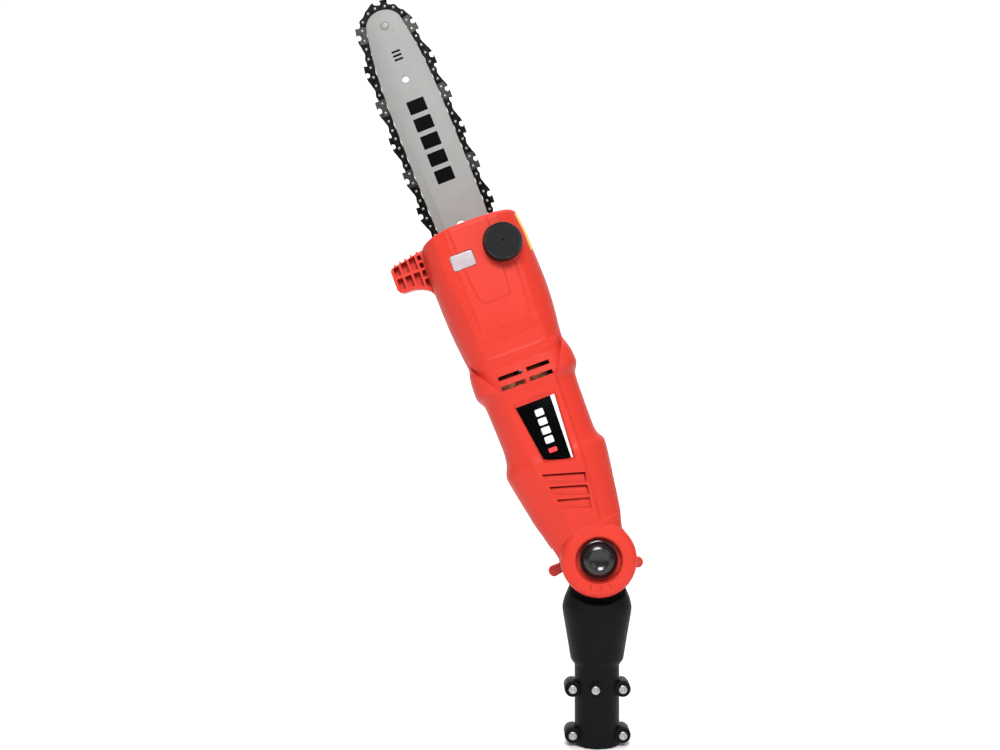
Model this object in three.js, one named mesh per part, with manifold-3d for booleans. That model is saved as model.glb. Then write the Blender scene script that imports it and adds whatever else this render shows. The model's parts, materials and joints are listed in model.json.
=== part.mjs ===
// Head of an electric pole saw on its pole socket: 10 inch guide bar and chain, gear drive, motor,
// oiling parts and a lockable tilt hinge. Millimetres, +Z up along the pole, origin at the centre of
// the socket's mouth, +X to the right and +Y away from the viewer. The tilt hinge turns about Y.
import * as THREE from 'three';
import { mergeVertices } from 'three/addons/utils/BufferGeometryUtils.js';
import Module from 'manifold-3d';

const wasm = await Module();
wasm.setup();

// ------------------------------------------------------------------ driving dimensions
const GAP = 0.3;                 // kept between neighbouring pieces
const HALF_GAP = GAP / 2;
const PIVOT_HEIGHT = 191;        // tilt hinge above the socket's mouth
const HEAD_TILT = 20;            // degrees, the head leans left of the pole
const BAR_TILT = 1.7;            // degrees, the bar leans left of the head
const WALL = 3;                  // moulded housing wall

const SOCKET_RADIUS = 18;        // pole diameter 36
const SOCKET_DEPTH = 80;
const CLAMP_HEIGHTS = [11.6, 58.3];
const CLAMP_OFFSET = 25.3;
const EAR_RADIUS = 8.2;
const EAR_HALF_DEPTH = 13;

const TONGUE_HALF = 13;          // half thickness of the socket's hinge tongue
const TONGUE_RADIUS = 28;
const HUB_RADIUS = 38.4;
const HUB_FACE = 34;             // outer faces of the hub at y = -34 and +34
const HUB_INNER = 14;            // inner faces of the hub's two cheeks
const TONGUE_CLEARANCE = 47;     // radius cleared round the tongue inside the head
const DISH_RADIUS = 46.2;        // radius cleared round the hub in the socket
const BUTTON_WELL = 22.9;
const BUTTON_RADIUS = 19.1;
const WELL_FLOOR = -20;
const BOLT_RADIUS = 4;
const BOLT_HEAD = 2.2;           // low enough for the button to come down over it
const PRONG_RING = 11.5;
const PRONG_RADIUS = 1.8;

const AXIS_U = -9.5;             // motor and spindle axes, left of the head's centre line
const SPINDLE_V = 281.5;         // spindle along the head, measured from the tilt hinge
const STEP_V = 240;              // where the chain compartment starts
const FLOOR_Y = 16.6;            // floor of the chain compartment
const RIM_Y = 18.9;              // edge of the housing that the cover meets
const COVER_Y = 19.3;

const TIGHT_RISE = 3.6;          // rivet line outside the bar's edge, on the run pulled tight
const SLACK_RISE = 4.4;          // and on the slack run
const SPROCKET_RIVETS = 18;      // rivet circle of the drive sprocket
const NOSE_S = 305.6;            // nose rivet from the spindle, along the bar
const NOSE_WIDTH = 19.3;
const NOSE_LENGTH = 16.6;
const CHAIN_RIVETS = 76;
const CHAIN_PHASE = 0.8;         // how far round the first rivet stands, in rivets
const PINION_TEETH = 6;
const CROWN_TEETH = 24;
const PINION_V = [257, 265.5];
const FAR_BEARING_Y = 6.8;
const STUD_S = 53.5;
const TENSION_X = -15;
const TENSION_S = 48;
const SCREW_Y = 9.9;             // chain tension screw, behind the compartment's floor

const CAP_U = 18;
const CAP_V = 330;
const CAP_RADIUS = 18.7;
const NEAR_Y = -46;              // near face of the upper housing

// Head housing along its length: [v, left, right, near, far].
const HEAD_STATIONS = [
  [0, -36.5, 33, -33.5, 33.5],
  [16, -39.3, 33.2, -34, 34],
  [39, -45.3, 38.5, -34.5, 34.5],
  [58, -50.2, 41.5, -36, 36],
  [95, -57.8, 46.6, -42, 42],
  [108, -59.4, 47.8, -44, 44],
  [113, -56.8, 48, -44, 44],
  [119, -54.7, 43.4, -42.3, 42.3],
  [130, -53.1, 41.8, -42, 42],
  [156, -53.9, 41.8, -42, 42],
  [182, -55.5, 42.5, -43, 43],
  [191, -60.7, 47.2, -45.5, 45.5],
  [208, -60.5, 47, -46, 46],
  [222, -57.5, 42.8, -44, 44],
  [245, -60.4, 45, -45, 45],
  [280, -63.1, 46.9, NEAR_Y, 46],
  [315, -63.8, 45.4, NEAR_Y, 46],
  [345, -62.5, 43.2, NEAR_Y, 46],
  [356, -61.3, 41.7, NEAR_Y + 1, 45],
  [361, -58.5, 39, NEAR_Y + 4, 42],
];
const CAVITY_START = 52;
const CAVITY_END = 356;

// Right-hand edge of the guide bar: [half width, distance from the spindle].
const BAR_EDGE = [
  [17, 26], [21.5, 50], [26.5, 80], [28, 95], [28.2, 118], [28.2, 168], [27.8, 218], [26.6, 248], [24.6, 273],
];

// ------------------------------------------------------------------ materials
function finish(color, roughness, metalness = 0) {
  return new THREE.MeshStandardMaterial({ color, roughness, metalness });
}

const RED = finish(0xe83a2c, 0.5);
const BLACK = finish(0x1c1e1f, 0.55);
const SATIN_STEEL = finish(0xb0b0ae, 0.35, 0.9);
const DARK_STEEL = finish(0x33302e, 0.45, 0.8);
const BRIGHT_STEEL = finish(0xc8c8c8, 0.25, 0.95);
const CAST_ALUMINIUM = finish(0x9a9c9e, 0.5, 0.8);
const COPPER = finish(0xb06a3a, 0.4, 0.9);
const LAMINATION = finish(0x85878a, 0.5, 0.8);
const MILKY = finish(0xeeeeea, 0.3);
const TANK_WHITE = finish(0xe6e4dc, 0.45);
const RUBBER = finish(0x17181a, 0.85);
const CARBON_HOLDER = finish(0x3a3f45, 0.6);

// ------------------------------------------------------------------ solids
function signedVolume(points, faces) {
  const corner = [new THREE.Vector3(), new THREE.Vector3(), new THREE.Vector3()];
  let volume = 0;
  for (let i = 0; i < faces.length; i += 3) {
    corner.forEach((point, k) => point.fromArray(points, faces[i + k] * 3));
    volume += corner[0].dot(corner[1].clone().cross(corner[2]));
  }
  return volume / 6;
}

function solidOf(shape) {
  if (!shape.isBufferGeometry) {
    return shape;
  }
  const bare = shape.clone();
  bare.deleteAttribute('normal');
  bare.deleteAttribute('uv');
  const merged = mergeVertices(bare, 1e-4);
  const points = new Float32Array(merged.attributes.position.array);
  const faces = [];
  for (let i = 0; i < merged.index.count; i += 3) {
    const [a, b, c] = merged.index.array.slice(i, i + 3);
    if (a !== b && b !== c && c !== a) {
      faces.push(a, b, c);
    }
  }
  if (signedVolume(points, faces) < 0) {
    faces.reverse();
  }
  return new wasm.Manifold(new wasm.Mesh({
    numProp: 3,
    vertProperties: points,
    triVerts: new Uint32Array(faces),
  }));
}

function geometryOf(solid) {
  const mesh = solid.getMesh();
  const geometry = new THREE.BufferGeometry();
  geometry.setAttribute('position', new THREE.BufferAttribute(new Float32Array(mesh.vertProperties), 3));
  geometry.setIndex(new THREE.BufferAttribute(new Uint32Array(mesh.triVerts), 1));
  return geometry;
}

function join(...shapes) {
  return shapes.map(solidOf).reduce((sum, next) => sum.add(next));
}

function cut(base, ...tools) {
  return tools.map(solidOf).reduce((rest, tool) => rest.subtract(tool), solidOf(base));
}

function common(base, ...tools) {
  return tools.map(solidOf).reduce((rest, tool) => rest.intersect(tool), solidOf(base));
}

function piece(parent, name, shape, material) {
  const mesh = new THREE.Mesh(geometryOf(solidOf(shape)), material);
  mesh.name = name;
  parent.add(mesh);
  return mesh;
}

// ------------------------------------------------------------------ shapes
function outline(points) {
  return new THREE.Shape(points.map(([x, z]) => new THREE.Vector2(x, z)));
}

// A shape drawn in X and Z, as thick as from y0 to y1.
function slab(shape, y0, y1, curveSegments = 4) {
  const geometry = new THREE.ExtrudeGeometry(shape, { depth: y1 - y0, bevelEnabled: false, curveSegments });
  geometry.rotateX(Math.PI / 2);
  geometry.translate(0, y1, 0);
  return geometry;
}

// A shape drawn in X and Y, as tall as from z0 to z1.
function column(shape, z0, z1, curveSegments = 4) {
  const geometry = new THREE.ExtrudeGeometry(shape, { depth: z1 - z0, bevelEnabled: false, curveSegments });
  geometry.translate(0, 0, z0);
  return geometry;
}

function box(x0, x1, y0, y1, z0, z1) {
  const geometry = new THREE.BoxGeometry(x1 - x0, y1 - y0, z1 - z0);
  geometry.translate((x0 + x1) / 2, (y0 + y1) / 2, (z0 + z1) / 2);
  return geometry;
}

// A cylinder along Y, centred at (x, z).
function pinY(x, z, radius, y0, y1, sides = 14) {
  const geometry = new THREE.CylinderGeometry(radius, radius, y1 - y0, sides);
  geometry.translate(x, (y0 + y1) / 2, z);
  return geometry;
}

// A cylinder along Z, centred at (x, y).
function pinZ(x, y, radius, z0, z1, sides = 14) {
  const geometry = new THREE.CylinderGeometry(radius, radius, z1 - z0, sides);
  geometry.rotateX(Math.PI / 2);
  geometry.translate(x, y, (z0 + z1) / 2);
  return geometry;
}

// A turned part along Y, from [radius, y] points.
function turned(profile, x, z, sides = 20) {
  const points = profile.map(([radius, y]) => new THREE.Vector2(radius, y));
  const geometry = new THREE.LatheGeometry(points, sides);
  geometry.translate(x, 0, z);
  return geometry;
}

function ringY(x, z, inner, outer, y0, y1, sides = 16) {
  return turned([[inner, y0], [outer, y0], [outer, y1], [inner, y1], [inner, y0]], x, z, sides);
}

function ringZ(x, y, inner, outer, z0, z1, sides = 16) {
  return cut(pinZ(x, y, outer, z0, z1, sides), pinZ(x, y, inner, z0 - 1, z1 + 1, sides));
}

// A rounded rectangle drawn about (x, z).
function roundedRectangle(x, z, width, height, radius) {
  const shape = new THREE.Shape();
  const w = width / 2 - radius;
  const h = height / 2 - radius;
  shape.absarc(x + w, z + h, radius, 0, Math.PI / 2);
  shape.absarc(x - w, z + h, radius, Math.PI / 2, Math.PI);
  shape.absarc(x - w, z - h, radius, Math.PI, 1.5 * Math.PI);
  shape.absarc(x + w, z - h, radius, 1.5 * Math.PI, 2 * Math.PI);
  return shape;
}

// A toothed disc: tooth tips and roots on two circles, each tooth as wide as its gap times `share`.
function gearShape(teeth, root, tip, share = 1) {
  const points = [];
  const pitch = (2 * Math.PI) / teeth;
  const width = (pitch * share) / (1 + share);
  for (let i = 0; i < teeth; i += 1) {
    const middle = i * pitch;
    const corners = [[root, -0.62], [tip, -0.34], [tip, 0.34], [root, 0.62]];
    corners.forEach(([radius, side]) => {
      const angle = middle + side * width;
      points.push([radius * Math.cos(angle), radius * Math.sin(angle)]);
    });
  }
  return outline(points);
}

// A closed outline between -1 and 1 both ways, a square whose corners are rounded by `power`.
function roundedSquare(power, count) {
  const points = [];
  for (let i = 0; i < count; i += 1) {
    const angle = (i / count) * 2 * Math.PI;
    const x = Math.cos(angle);
    const y = Math.sin(angle);
    points.push([Math.sign(x) * Math.abs(x) ** (2 / power), Math.sign(y) * Math.abs(y) ** (2 / power)]);
  }
  return outline(points);
}

// Sections swept along Z through stations of [z, left, right, near, far].
function loft(section, stations) {
  const steps = stations.length - 1;
  const geometry = new THREE.ExtrudeGeometry(section, { depth: steps, steps, bevelEnabled: false });
  const place = geometry.attributes.position;
  for (let i = 0; i < place.count; i += 1) {
    const [z, left, right, near, far] = stations[Math.round(place.getZ(i))];
    const x = THREE.MathUtils.lerp(left, right, (place.getX(i) + 1) / 2);
    const y = THREE.MathUtils.lerp(near, far, (place.getY(i) + 1) / 2);
    place.setXYZ(i, x, y, z);
  }
  return geometry;
}

function symmetric(stations) {
  return stations.map(([z, width, depth]) => [z, -width, width, -depth, depth]);
}

function stationAt(z) {
  const above = HEAD_STATIONS.findIndex((station) => station[0] >= z);
  const high = HEAD_STATIONS[Math.max(above, 1)];
  const low = HEAD_STATIONS[Math.max(above, 1) - 1];
  const share = (z - low[0]) / (high[0] - low[0]);
  return low.map((value, k) => THREE.MathUtils.lerp(value, high[k], share));
}

// The housing's sections from z0 to z1, moved in by `wall`.
function insetStations(z0, z1, wall) {
  const inner = HEAD_STATIONS.filter(([z]) => z > z0 && z < z1);
  return [stationAt(z0), ...inner, stationAt(z1)].map(
    ([z, left, right, near, far]) => [z, left + wall, right - wall, near + wall, far - wall],
  );
}

// ------------------------------------------------------------------ groups
const saw = new THREE.Group();
const head = new THREE.Group();
head.position.z = PIVOT_HEIGHT;
head.rotation.y = -THREE.MathUtils.degToRad(HEAD_TILT);
saw.add(head);
const bar = new THREE.Group();
bar.position.set(AXIS_U, 0, SPINDLE_V);
bar.rotation.y = -THREE.MathUtils.degToRad(BAR_TILT);
head.add(bar);

// A point given along the bar, in the head's frame.
function barPoint(x, s) {
  const cos = Math.cos(THREE.MathUtils.degToRad(BAR_TILT));
  const sin = Math.sin(THREE.MathUtils.degToRad(BAR_TILT));
  return [AXIS_U + x * cos - s * sin, SPINDLE_V + x * sin + s * cos];
}

const STUD = barPoint(0, STUD_S);
const TENSION_PIN = barPoint(TENSION_X, TENSION_S);

// ------------------------------------------------------------------ pole socket
const SOCKET_STATIONS = symmetric([
  [0, 21.9, 21.9], [1.5, 22.75, 22.75], [81.5, 22.75, 22.75], [86.5, 26.7, 26], [112, 31, 29],
  [134, 34.8, 31], [141, 35.3, 31], [150, 33.2, 30.5], [159.5, 29.2, 28],
]);
const SOCKET_HOLLOW = symmetric([
  [90, 23.2, 22.4], [112, 27.4, 25.4], [138, 31.2, 27.4], [148, 29, 26], [152, 26, 24],
]);
const WIRE_RADIUS = 9;
const LOCATING_X = -3;
const LOCATING_HEIGHT = 60;

function clampCorners() {
  return [-CLAMP_OFFSET, CLAMP_OFFSET].flatMap((x) => CLAMP_HEIGHTS.map((z) => [x, z]));
}

function socketBody() {
  const circle = roundedSquare(2, 24);
  const ears = clampCorners().map(([x, z]) => pinY(x, z, EAR_RADIUS, -EAR_HALF_DEPTH, EAR_HALF_DEPTH));
  const boss = pinY(LOCATING_X, LOCATING_HEIGHT, 7, -25, -15);
  const dishes = [[-50, -TONGUE_HALF - GAP], [TONGUE_HALF + GAP, 50]].map(
    ([y0, y1]) => pinY(0, PIVOT_HEIGHT, DISH_RADIUS, y0, y1, 32),
  );
  const outside = cut(loft(circle, SOCKET_STATIONS), ...dishes);
  const tongue = join(
    pinY(0, PIVOT_HEIGHT, TONGUE_RADIUS, -TONGUE_HALF, TONGUE_HALF, 28),
    box(-TONGUE_RADIUS, TONGUE_RADIUS, -TONGUE_HALF, TONGUE_HALF, 154, PIVOT_HEIGHT),
  );
  const dishWalls = dishes.map((dish) => solidOf(dish).scale([1.09, 1, 1.02]));
  const hollow = cut(loft(circle, SOCKET_HOLLOW), ...dishWalls);
  return cut(
    join(outside, tongue, boss, ...ears),
    pinZ(0, 0, SOCKET_RADIUS, -1, SOCKET_DEPTH, 24),
    pinZ(0, 0, WIRE_RADIUS, SOCKET_DEPTH - 1, 96, 12),
    common(hollow, box(-40, 40, -TONGUE_HALF + WALL, TONGUE_HALF - WALL, 88, 150)),
    ...clampCorners().map(([x, z]) => pinY(x, z, 2.4, -20, 20, 8)),
    pinY(LOCATING_X, LOCATING_HEIGHT, 2.4, -30, -15, 8),
    pinY(0, PIVOT_HEIGHT, BOLT_RADIUS + GAP, -20, 20),
  );
}

function gearPocket() {
  const shape = gearShape(12, 14.1, 16.1, 1.35);
  const pocket = slab(shape, -TONGUE_HALF - 1, -3);
  pocket.translate(0, 0, PIVOT_HEIGHT);
  return pocket;
}

function addSocket() {
  const body = socketBody();
  const near = box(-60, 60, -60, -HALF_GAP, -5, 230);
  const far = box(-60, 60, HALF_GAP, 60, -5, 230);
  piece(saw, 'adapter_front_shell', cut(common(body, near), gearPocket()), BLACK);
  piece(saw, 'adapter_rear_shell', common(body, far), BLACK);
  clampCorners().forEach(([x, z], k) => {
    const front = -EAR_HALF_DEPTH - GAP;
    const back = EAR_HALF_DEPTH + GAP;
    const screw = cut(
      join(pinY(x, z, 4.3, front - 3.2, front), pinY(x, z, 2, front - 0.1, back + 4.4, 8)),
      pinY(x, z, 1.9, front - 4, front - 1.4, 6),
    );
    piece(saw, `clamp_screw_${k + 1}`, screw, BRIGHT_STEEL);
    const nut = cut(pinY(x, z, 4.4, back, back + 3.4, 6), pinY(x, z, 2.3, back - 1, back + 5, 8));
    piece(saw, `clamp_nut_${k + 1}`, nut, BRIGHT_STEEL);
  });
  const locating = cut(
    join(
      pinY(LOCATING_X, LOCATING_HEIGHT, 4.3, -28.3, -25.3),
      pinY(LOCATING_X, LOCATING_HEIGHT, 2, -25.4, -15.5, 8),
    ),
    pinY(LOCATING_X, LOCATING_HEIGHT, 1.9, -29, -26.8, 6),
  );
  piece(saw, 'pole_locating_screw', locating, BRIGHT_STEEL);
}

// ------------------------------------------------------------------ tilt hinge
const WASHER_Y = HUB_FACE + GAP;
const KNOB_Y = WASHER_Y + 1.8 + GAP;
const GEAR_NEAR = -17.3;
const GEAR_FAR = -11.3;
const SPRING_START = GEAR_FAR + GAP;
const SPRING_END = -3 - GAP;

function helix(radius, turns, length, wire) {
  class Helix extends THREE.Curve {
    getPoint(t, target = new THREE.Vector3()) {
      const angle = t * turns * 2 * Math.PI;
      return target.set(radius * Math.cos(angle), t * length, radius * Math.sin(angle));
    }
  }
  const section = new THREE.Shape();
  section.absarc(0, 0, wire / 2, 0, 2 * Math.PI);
  const options = { extrudePath: new Helix(), steps: Math.round(turns * 10), curveSegments: 3 };
  return new THREE.ExtrudeGeometry(section, options);
}

function wingKnob() {
  const lobeReach = 46.5;
  const lobeRadius = 6.2;
  const wings = [-14, 206].map((angle) => {
    const arm = new THREE.Shape();
    arm.moveTo(0, -8);
    arm.lineTo(lobeReach, -lobeRadius);
    arm.absarc(lobeReach, 0, lobeRadius, -Math.PI / 2, Math.PI / 2);
    arm.lineTo(0, 8);
    const wing = slab(arm, KNOB_Y + 0.9, KNOB_Y + 10);
    wing.rotateY(-THREE.MathUtils.degToRad(angle));
    wing.translate(0, 0, PIVOT_HEIGHT);
    return wing;
  });
  const profile = [[0, KNOB_Y], [13, KNOB_Y], [14, KNOB_Y + 8], [12, KNOB_Y + 12], [0, KNOB_Y + 12]];
  const hub = turned(profile, 0, PIVOT_HEIGHT);
  const bore = pinY(0, PIVOT_HEIGHT, BOLT_RADIUS + GAP, KNOB_Y - 1, KNOB_Y + 9.5);
  return cut(join(hub, ...wings), bore);
}

function prongPlaces(radius) {
  return [90, 210, 330].map((angle) => {
    const turn = THREE.MathUtils.degToRad(angle);
    return [radius * Math.cos(turn), PIVOT_HEIGHT + radius * Math.sin(turn)];
  });
}

function addHinge() {
  const headTop = WELL_FLOOR - GAP;
  const bolt = join(
    pinY(0, PIVOT_HEIGHT, 7, headTop - BOLT_HEAD, headTop, 6),
    pinY(0, PIVOT_HEIGHT, BOLT_RADIUS, headTop - 0.1, KNOB_Y + 8.5),
  );
  piece(saw, 'hinge_bolt', bolt, BRIGHT_STEEL);
  const gear = slab(gearShape(12, 13.5, 15.5), GEAR_NEAR, GEAR_FAR);
  gear.translate(0, 0, PIVOT_HEIGHT);
  piece(saw, 'lock_gear', cut(gear, pinY(0, PIVOT_HEIGHT, BOLT_RADIUS + GAP, -20, -5)), DARK_STEEL);
  const spring = helix(7.4, 3, SPRING_END - SPRING_START - 1.2, 1.1);
  spring.translate(0, SPRING_START + 0.6, PIVOT_HEIGHT);
  piece(saw, 'lock_spring', spring, BRIGHT_STEEL);
  const face = -HUB_FACE + 0.6;
  const profile = [
    [0, face + 2.6], [6, face + 2], [9.6, face], [11.5, face], [16.9, face + 2.6], [17.4, face + 4.4],
    [BUTTON_RADIUS, face + 4.8], [BUTTON_RADIUS, -25], [16.6, -25], [16.6, face + 6.5], [0, face + 6.5],
  ];
  const prongs = prongPlaces(PRONG_RING).map(
    ([x, z]) => pinY(x, z, PRONG_RADIUS, face + 6, GEAR_NEAR - GAP, 8),
  );
  piece(saw, 'lock_button', join(turned(profile, 0, PIVOT_HEIGHT, 20), ...prongs), BLACK);
  const washer = ringY(0, PIVOT_HEIGHT, BOLT_RADIUS + GAP, 11, WASHER_Y, WASHER_Y + 1.8);
  piece(saw, 'knob_washer', washer, BRIGHT_STEEL);
  piece(saw, 'wing_knob', wingKnob(), RED);
}

// ------------------------------------------------------------------ head housing
const WINDOW = { u: -25.4, v: 326, width: 24.2, height: 16.5 };
const LABEL_POCKET = [[-27, 174], [15.5, 174], [11.4, 105], [-18.3, 113.2]];
const LABEL_FLOOR = -41.2;
const VENT_ROWS = [203.4, 193.4];
const VENT_SPANS = [[-32.7, -8], [-3.1, 20.6]];
const LOUVRES = [
  [[-24.5, 100.6], [16.8, 88.5], [14.9, 78.3], [-22, 90.4]],
  [[-22, 86.6], [14.4, 75.9], [13.1, 65.3], [-19.5, 76.9]],
  [[-19.1, 72], [12.4, 63.3], [11, 52.6], [-16.7, 61.4]],
];
const HOUSING_SCREWS = [[-47, 226], [31, 226]];

// A wedge that is deep at the louvre's upper edge and comes out at its lower edge.
function louvre([topLeft, topRight, lowRight, lowLeft], depth) {
  const shape = outline([topLeft, topRight, lowRight, lowLeft]);
  const wedge = slab(shape, 0, 1);
  const place = wedge.attributes.position;
  for (let i = 0; i < place.count; i += 1) {
    const upper = [topLeft, topRight].some(([, v]) => Math.abs(place.getZ(i) - v) < 0.01);
    const surface = -37 - (place.getZ(i) - 52) * 0.12;
    const back = upper ? surface + depth : surface + 0.2;
    place.setY(i, place.getY(i) < 0.5 ? -50 : back);
  }
  return wedge;
}

function hub(side) {
  const profile = [
    [0, side * HUB_FACE], [33, side * HUB_FACE], [HUB_RADIUS, side * (HUB_FACE - 4.5)],
    [HUB_RADIUS, side * HUB_INNER], [0, side * HUB_INNER],
  ];
  return turned(profile, 0, 0, 36);
}

function housingBody() {
  const section = roundedSquare(4.6, 16);
  const outside = join(loft(section, HEAD_STATIONS), hub(-1), hub(1));
  const motorRoom = loft(section, insetStations(CAVITY_START, STEP_V - WALL, WALL));
  const gearRoom = loft(section, insetStations(STEP_V - WALL - 2, CAVITY_END, WALL));
  const nearOfFloor = box(-90, 90, -60, FLOOR_Y - WALL, 200, 400);
  const chainRoom = loft(section, insetStations(STEP_V + WALL, CAVITY_END, WALL));
  const beyondFloor = box(-90, 90, FLOOR_Y, 60, 200, 400);
  return cut(
    outside,
    pinY(0, 0, TONGUE_CLEARANCE, -HUB_INNER, HUB_INNER, 36),
    box(-90, 90, -HUB_INNER, HUB_INNER, -60, 0),
    motorRoom,
    common(gearRoom, nearOfFloor),
    common(chainRoom, beyondFloor),
    box(-90, 90, RIM_Y, 60, STEP_V, 400),
    box(-56, 31, FLOOR_Y, 60, 350, 400),
    pinY(AXIS_U, SPINDLE_V, 12, 5, 25),
    pinY(STUD[0], STUD[1], 4.5, 5, 25),
    slab(roundedRectangle(TENSION_PIN[0] + 0.1, TENSION_PIN[1] - 2, 5.6, 10.6, 2.7), 5, 25),
    pinZ(...tensionScrewExit(), 4, 340, 370, 10),
    pinY(CAP_U, CAP_V, 14, -60, -35, 20),
    slab(roundedRectangle(WINDOW.u, WINDOW.v, WINDOW.width, WINDOW.height, 3), -60, -35),
  );
}

function tensionScrewExit() {
  return [barPoint(TENSION_X, 78)[0], SCREW_Y];
}

function nearOpenings() {
  const vents = VENT_ROWS.flatMap(
    (v) => VENT_SPANS.map(([u0, u1]) => box(u0, u1, -60, -35, v - 1.8, v + 1.8)),
  );
  const recess = slab(outline([[-49.7, 211.8], [-33.2, 189], [24, 190], [35.6, 210.8]]), -60, -44);
  const pocket = slab(outline(LABEL_POCKET), -60, LABEL_FLOOR);
  return [recess, ...vents, pocket, ...LOUVRES.map((shape) => louvre(shape, 7))];
}

function addHousing() {
  const body = housingBody();
  const nearHalf = common(body, box(-90, 90, -90, -HALF_GAP, -60, 400));
  const farHalf = common(body, box(-90, 90, HALF_GAP, 90, -60, 400));
  const near = cut(
    nearHalf,
    pinY(0, 0, BUTTON_WELL, -40, WELL_FLOOR, 28),
    pinY(0, 0, 16.8, GEAR_NEAR - GAP, 0, 20),
    pinY(0, 0, BOLT_RADIUS + GAP, -30, 0),
    ...prongPlaces(PRONG_RING).map(([x, z]) => {
      const angle = Math.atan2(z - PIVOT_HEIGHT, x) - THREE.MathUtils.degToRad(HEAD_TILT);
      const [u, v] = [PRONG_RING * Math.cos(angle), PRONG_RING * Math.sin(angle)];
      return pinY(u, v, PRONG_RADIUS + GAP, -30, 0, 8);
    }),
    ...nearOpenings(),
  );
  const screwWells = HOUSING_SCREWS.map(([u, v]) => pinY(u, v, 4.6, 30, 60, 12));
  const screwPosts = HOUSING_SCREWS.map(([u, v]) => pinY(u, v, 6.6, 5, 36, 12));
  const screwHoles = HOUSING_SCREWS.map(([u, v]) => pinY(u, v, 2.2, 0, 40, 8));
  const far = cut(
    join(farHalf, ...screwPosts),
    pinY(0, 0, BOLT_RADIUS + GAP, 0, 60),
    ...screwWells,
    ...screwHoles,
  );
  piece(head, 'near_housing', near, RED);
  piece(head, 'far_housing', far, RED);
  HOUSING_SCREWS.forEach(([u, v], k) => {
    const screw = cut(
      join(pinY(u, v, 4, 30.3, 32.8), pinY(u, v, 1.8, 3, 30.4, 8)),
      pinY(u, v, 1.6, 31.4, 34, 6),
    );
    piece(head, `housing_screw_${k + 1}`, screw, DARK_STEEL);
  });
}

function addNearTrim() {
  const { u, v, width, height } = WINDOW;
  const pane = roundedRectangle(u, v, width - 2 * GAP, height - 2 * GAP, 2.7);
  piece(head, 'oil_level_window', slab(pane, NEAR_Y + 0.4, NEAR_Y + 3.2), MILKY);
}

// ------------------------------------------------------------------ branch stop
function addBranchStop() {
  const shape = outline([
    [-65, 352.6], [-66.2, 355.3], [-68.4, 352.1], [-72.2, 354.1], [-74.4, 350.8], [-79.2, 352.7],
    [-81.4, 349.4], [-85.2, 351.5], [-87.4, 348.2], [-91.2, 350.3], [-93.4, 347], [-96.5, 346.5],
    [-98.3, 343], [-98.3, 325], [-96.5, 320.5], [-93.3, 319.5], [-83.3, 319.5], [-77.3, 318],
    [-72.3, 316], [-68.3, 313.5], [-65.3, 310], [-64.3, 306], [-64.3, 352.6],
  ]);
  const pockets = [[-94.8, -89.3], [-86.3, -80.1], [-77.1, -71]].flatMap(([u0, u1]) => [
    box(u0, u1, -10, 20, 337, 344.5),
    box(u0, u1, -10, 20, 323.5, 334),
  ]);
  piece(head, 'branch_stop', cut(slab(shape, -4, 24), ...pockets), RED);
}

// ------------------------------------------------------------------ motor
const STATOR = { start: 140, end: 190, outer: 35, ring: 29, bore: 21.6 };
const COIL = { start: 126, end: 204, inner: 22.1, outer: 28.6 };

function sector(inner, outer, from, to) {
  const shape = new THREE.Shape();
  const a = THREE.MathUtils.degToRad(from);
  const b = THREE.MathUtils.degToRad(to);
  shape.absarc(AXIS_U, 0, outer, a, b, false);
  shape.absarc(AXIS_U, 0, inner, b, a, true);
  return shape;
}

function addStator() {
  const poles = [[-38, 38], [142, 218]].map(
    ([from, to]) => column(sector(STATOR.bore, STATOR.ring + 1, from, to), STATOR.start, STATOR.end, 3),
  );
  const ring = ringZ(AXIS_U, 0, STATOR.ring, STATOR.outer, STATOR.start, STATOR.end, 28);
  piece(head, 'stator_core', join(ring, ...poles), LAMINATION);
  [['field_coil_right', 0], ['field_coil_left', 180]].forEach(([name, middle]) => {
    const around = sector(COIL.inner, COIL.outer, middle - 72, middle + 72);
    const inside = sector(15, 40, middle - 41, middle + 41);
    const saddle = column(around, COIL.start, COIL.end, 5);
    const opening = column(inside, STATOR.start - 1.5, STATOR.end + 1.5, 3);
    piece(head, name, cut(saddle, opening), COPPER);
  });
  [['brush_holder_right', 1], ['brush_holder_left', -1]].forEach(([name, side]) => {
    const holder = box(14, 30, -4.5, 4.5, 111, 121);
    const carbon = box(12.6, 15, -3, 3, 112.5, 119.5);
    const both = geometryOf(join(holder, carbon));
    if (side < 0) {
      both.rotateZ(Math.PI);
    }
    both.translate(AXIS_U, 0, 0);
    piece(head, name, both, CARBON_HOLDER);
  });
  piece(head, 'rear_motor_bearing', ringZ(AXIS_U, 0, 4.3, 11, 94, 101), BRIGHT_STEEL);
  piece(head, 'front_motor_bearing', ringZ(AXIS_U, 0, 4.3, 9.3, 223, 230), BRIGHT_STEEL);
}

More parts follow.
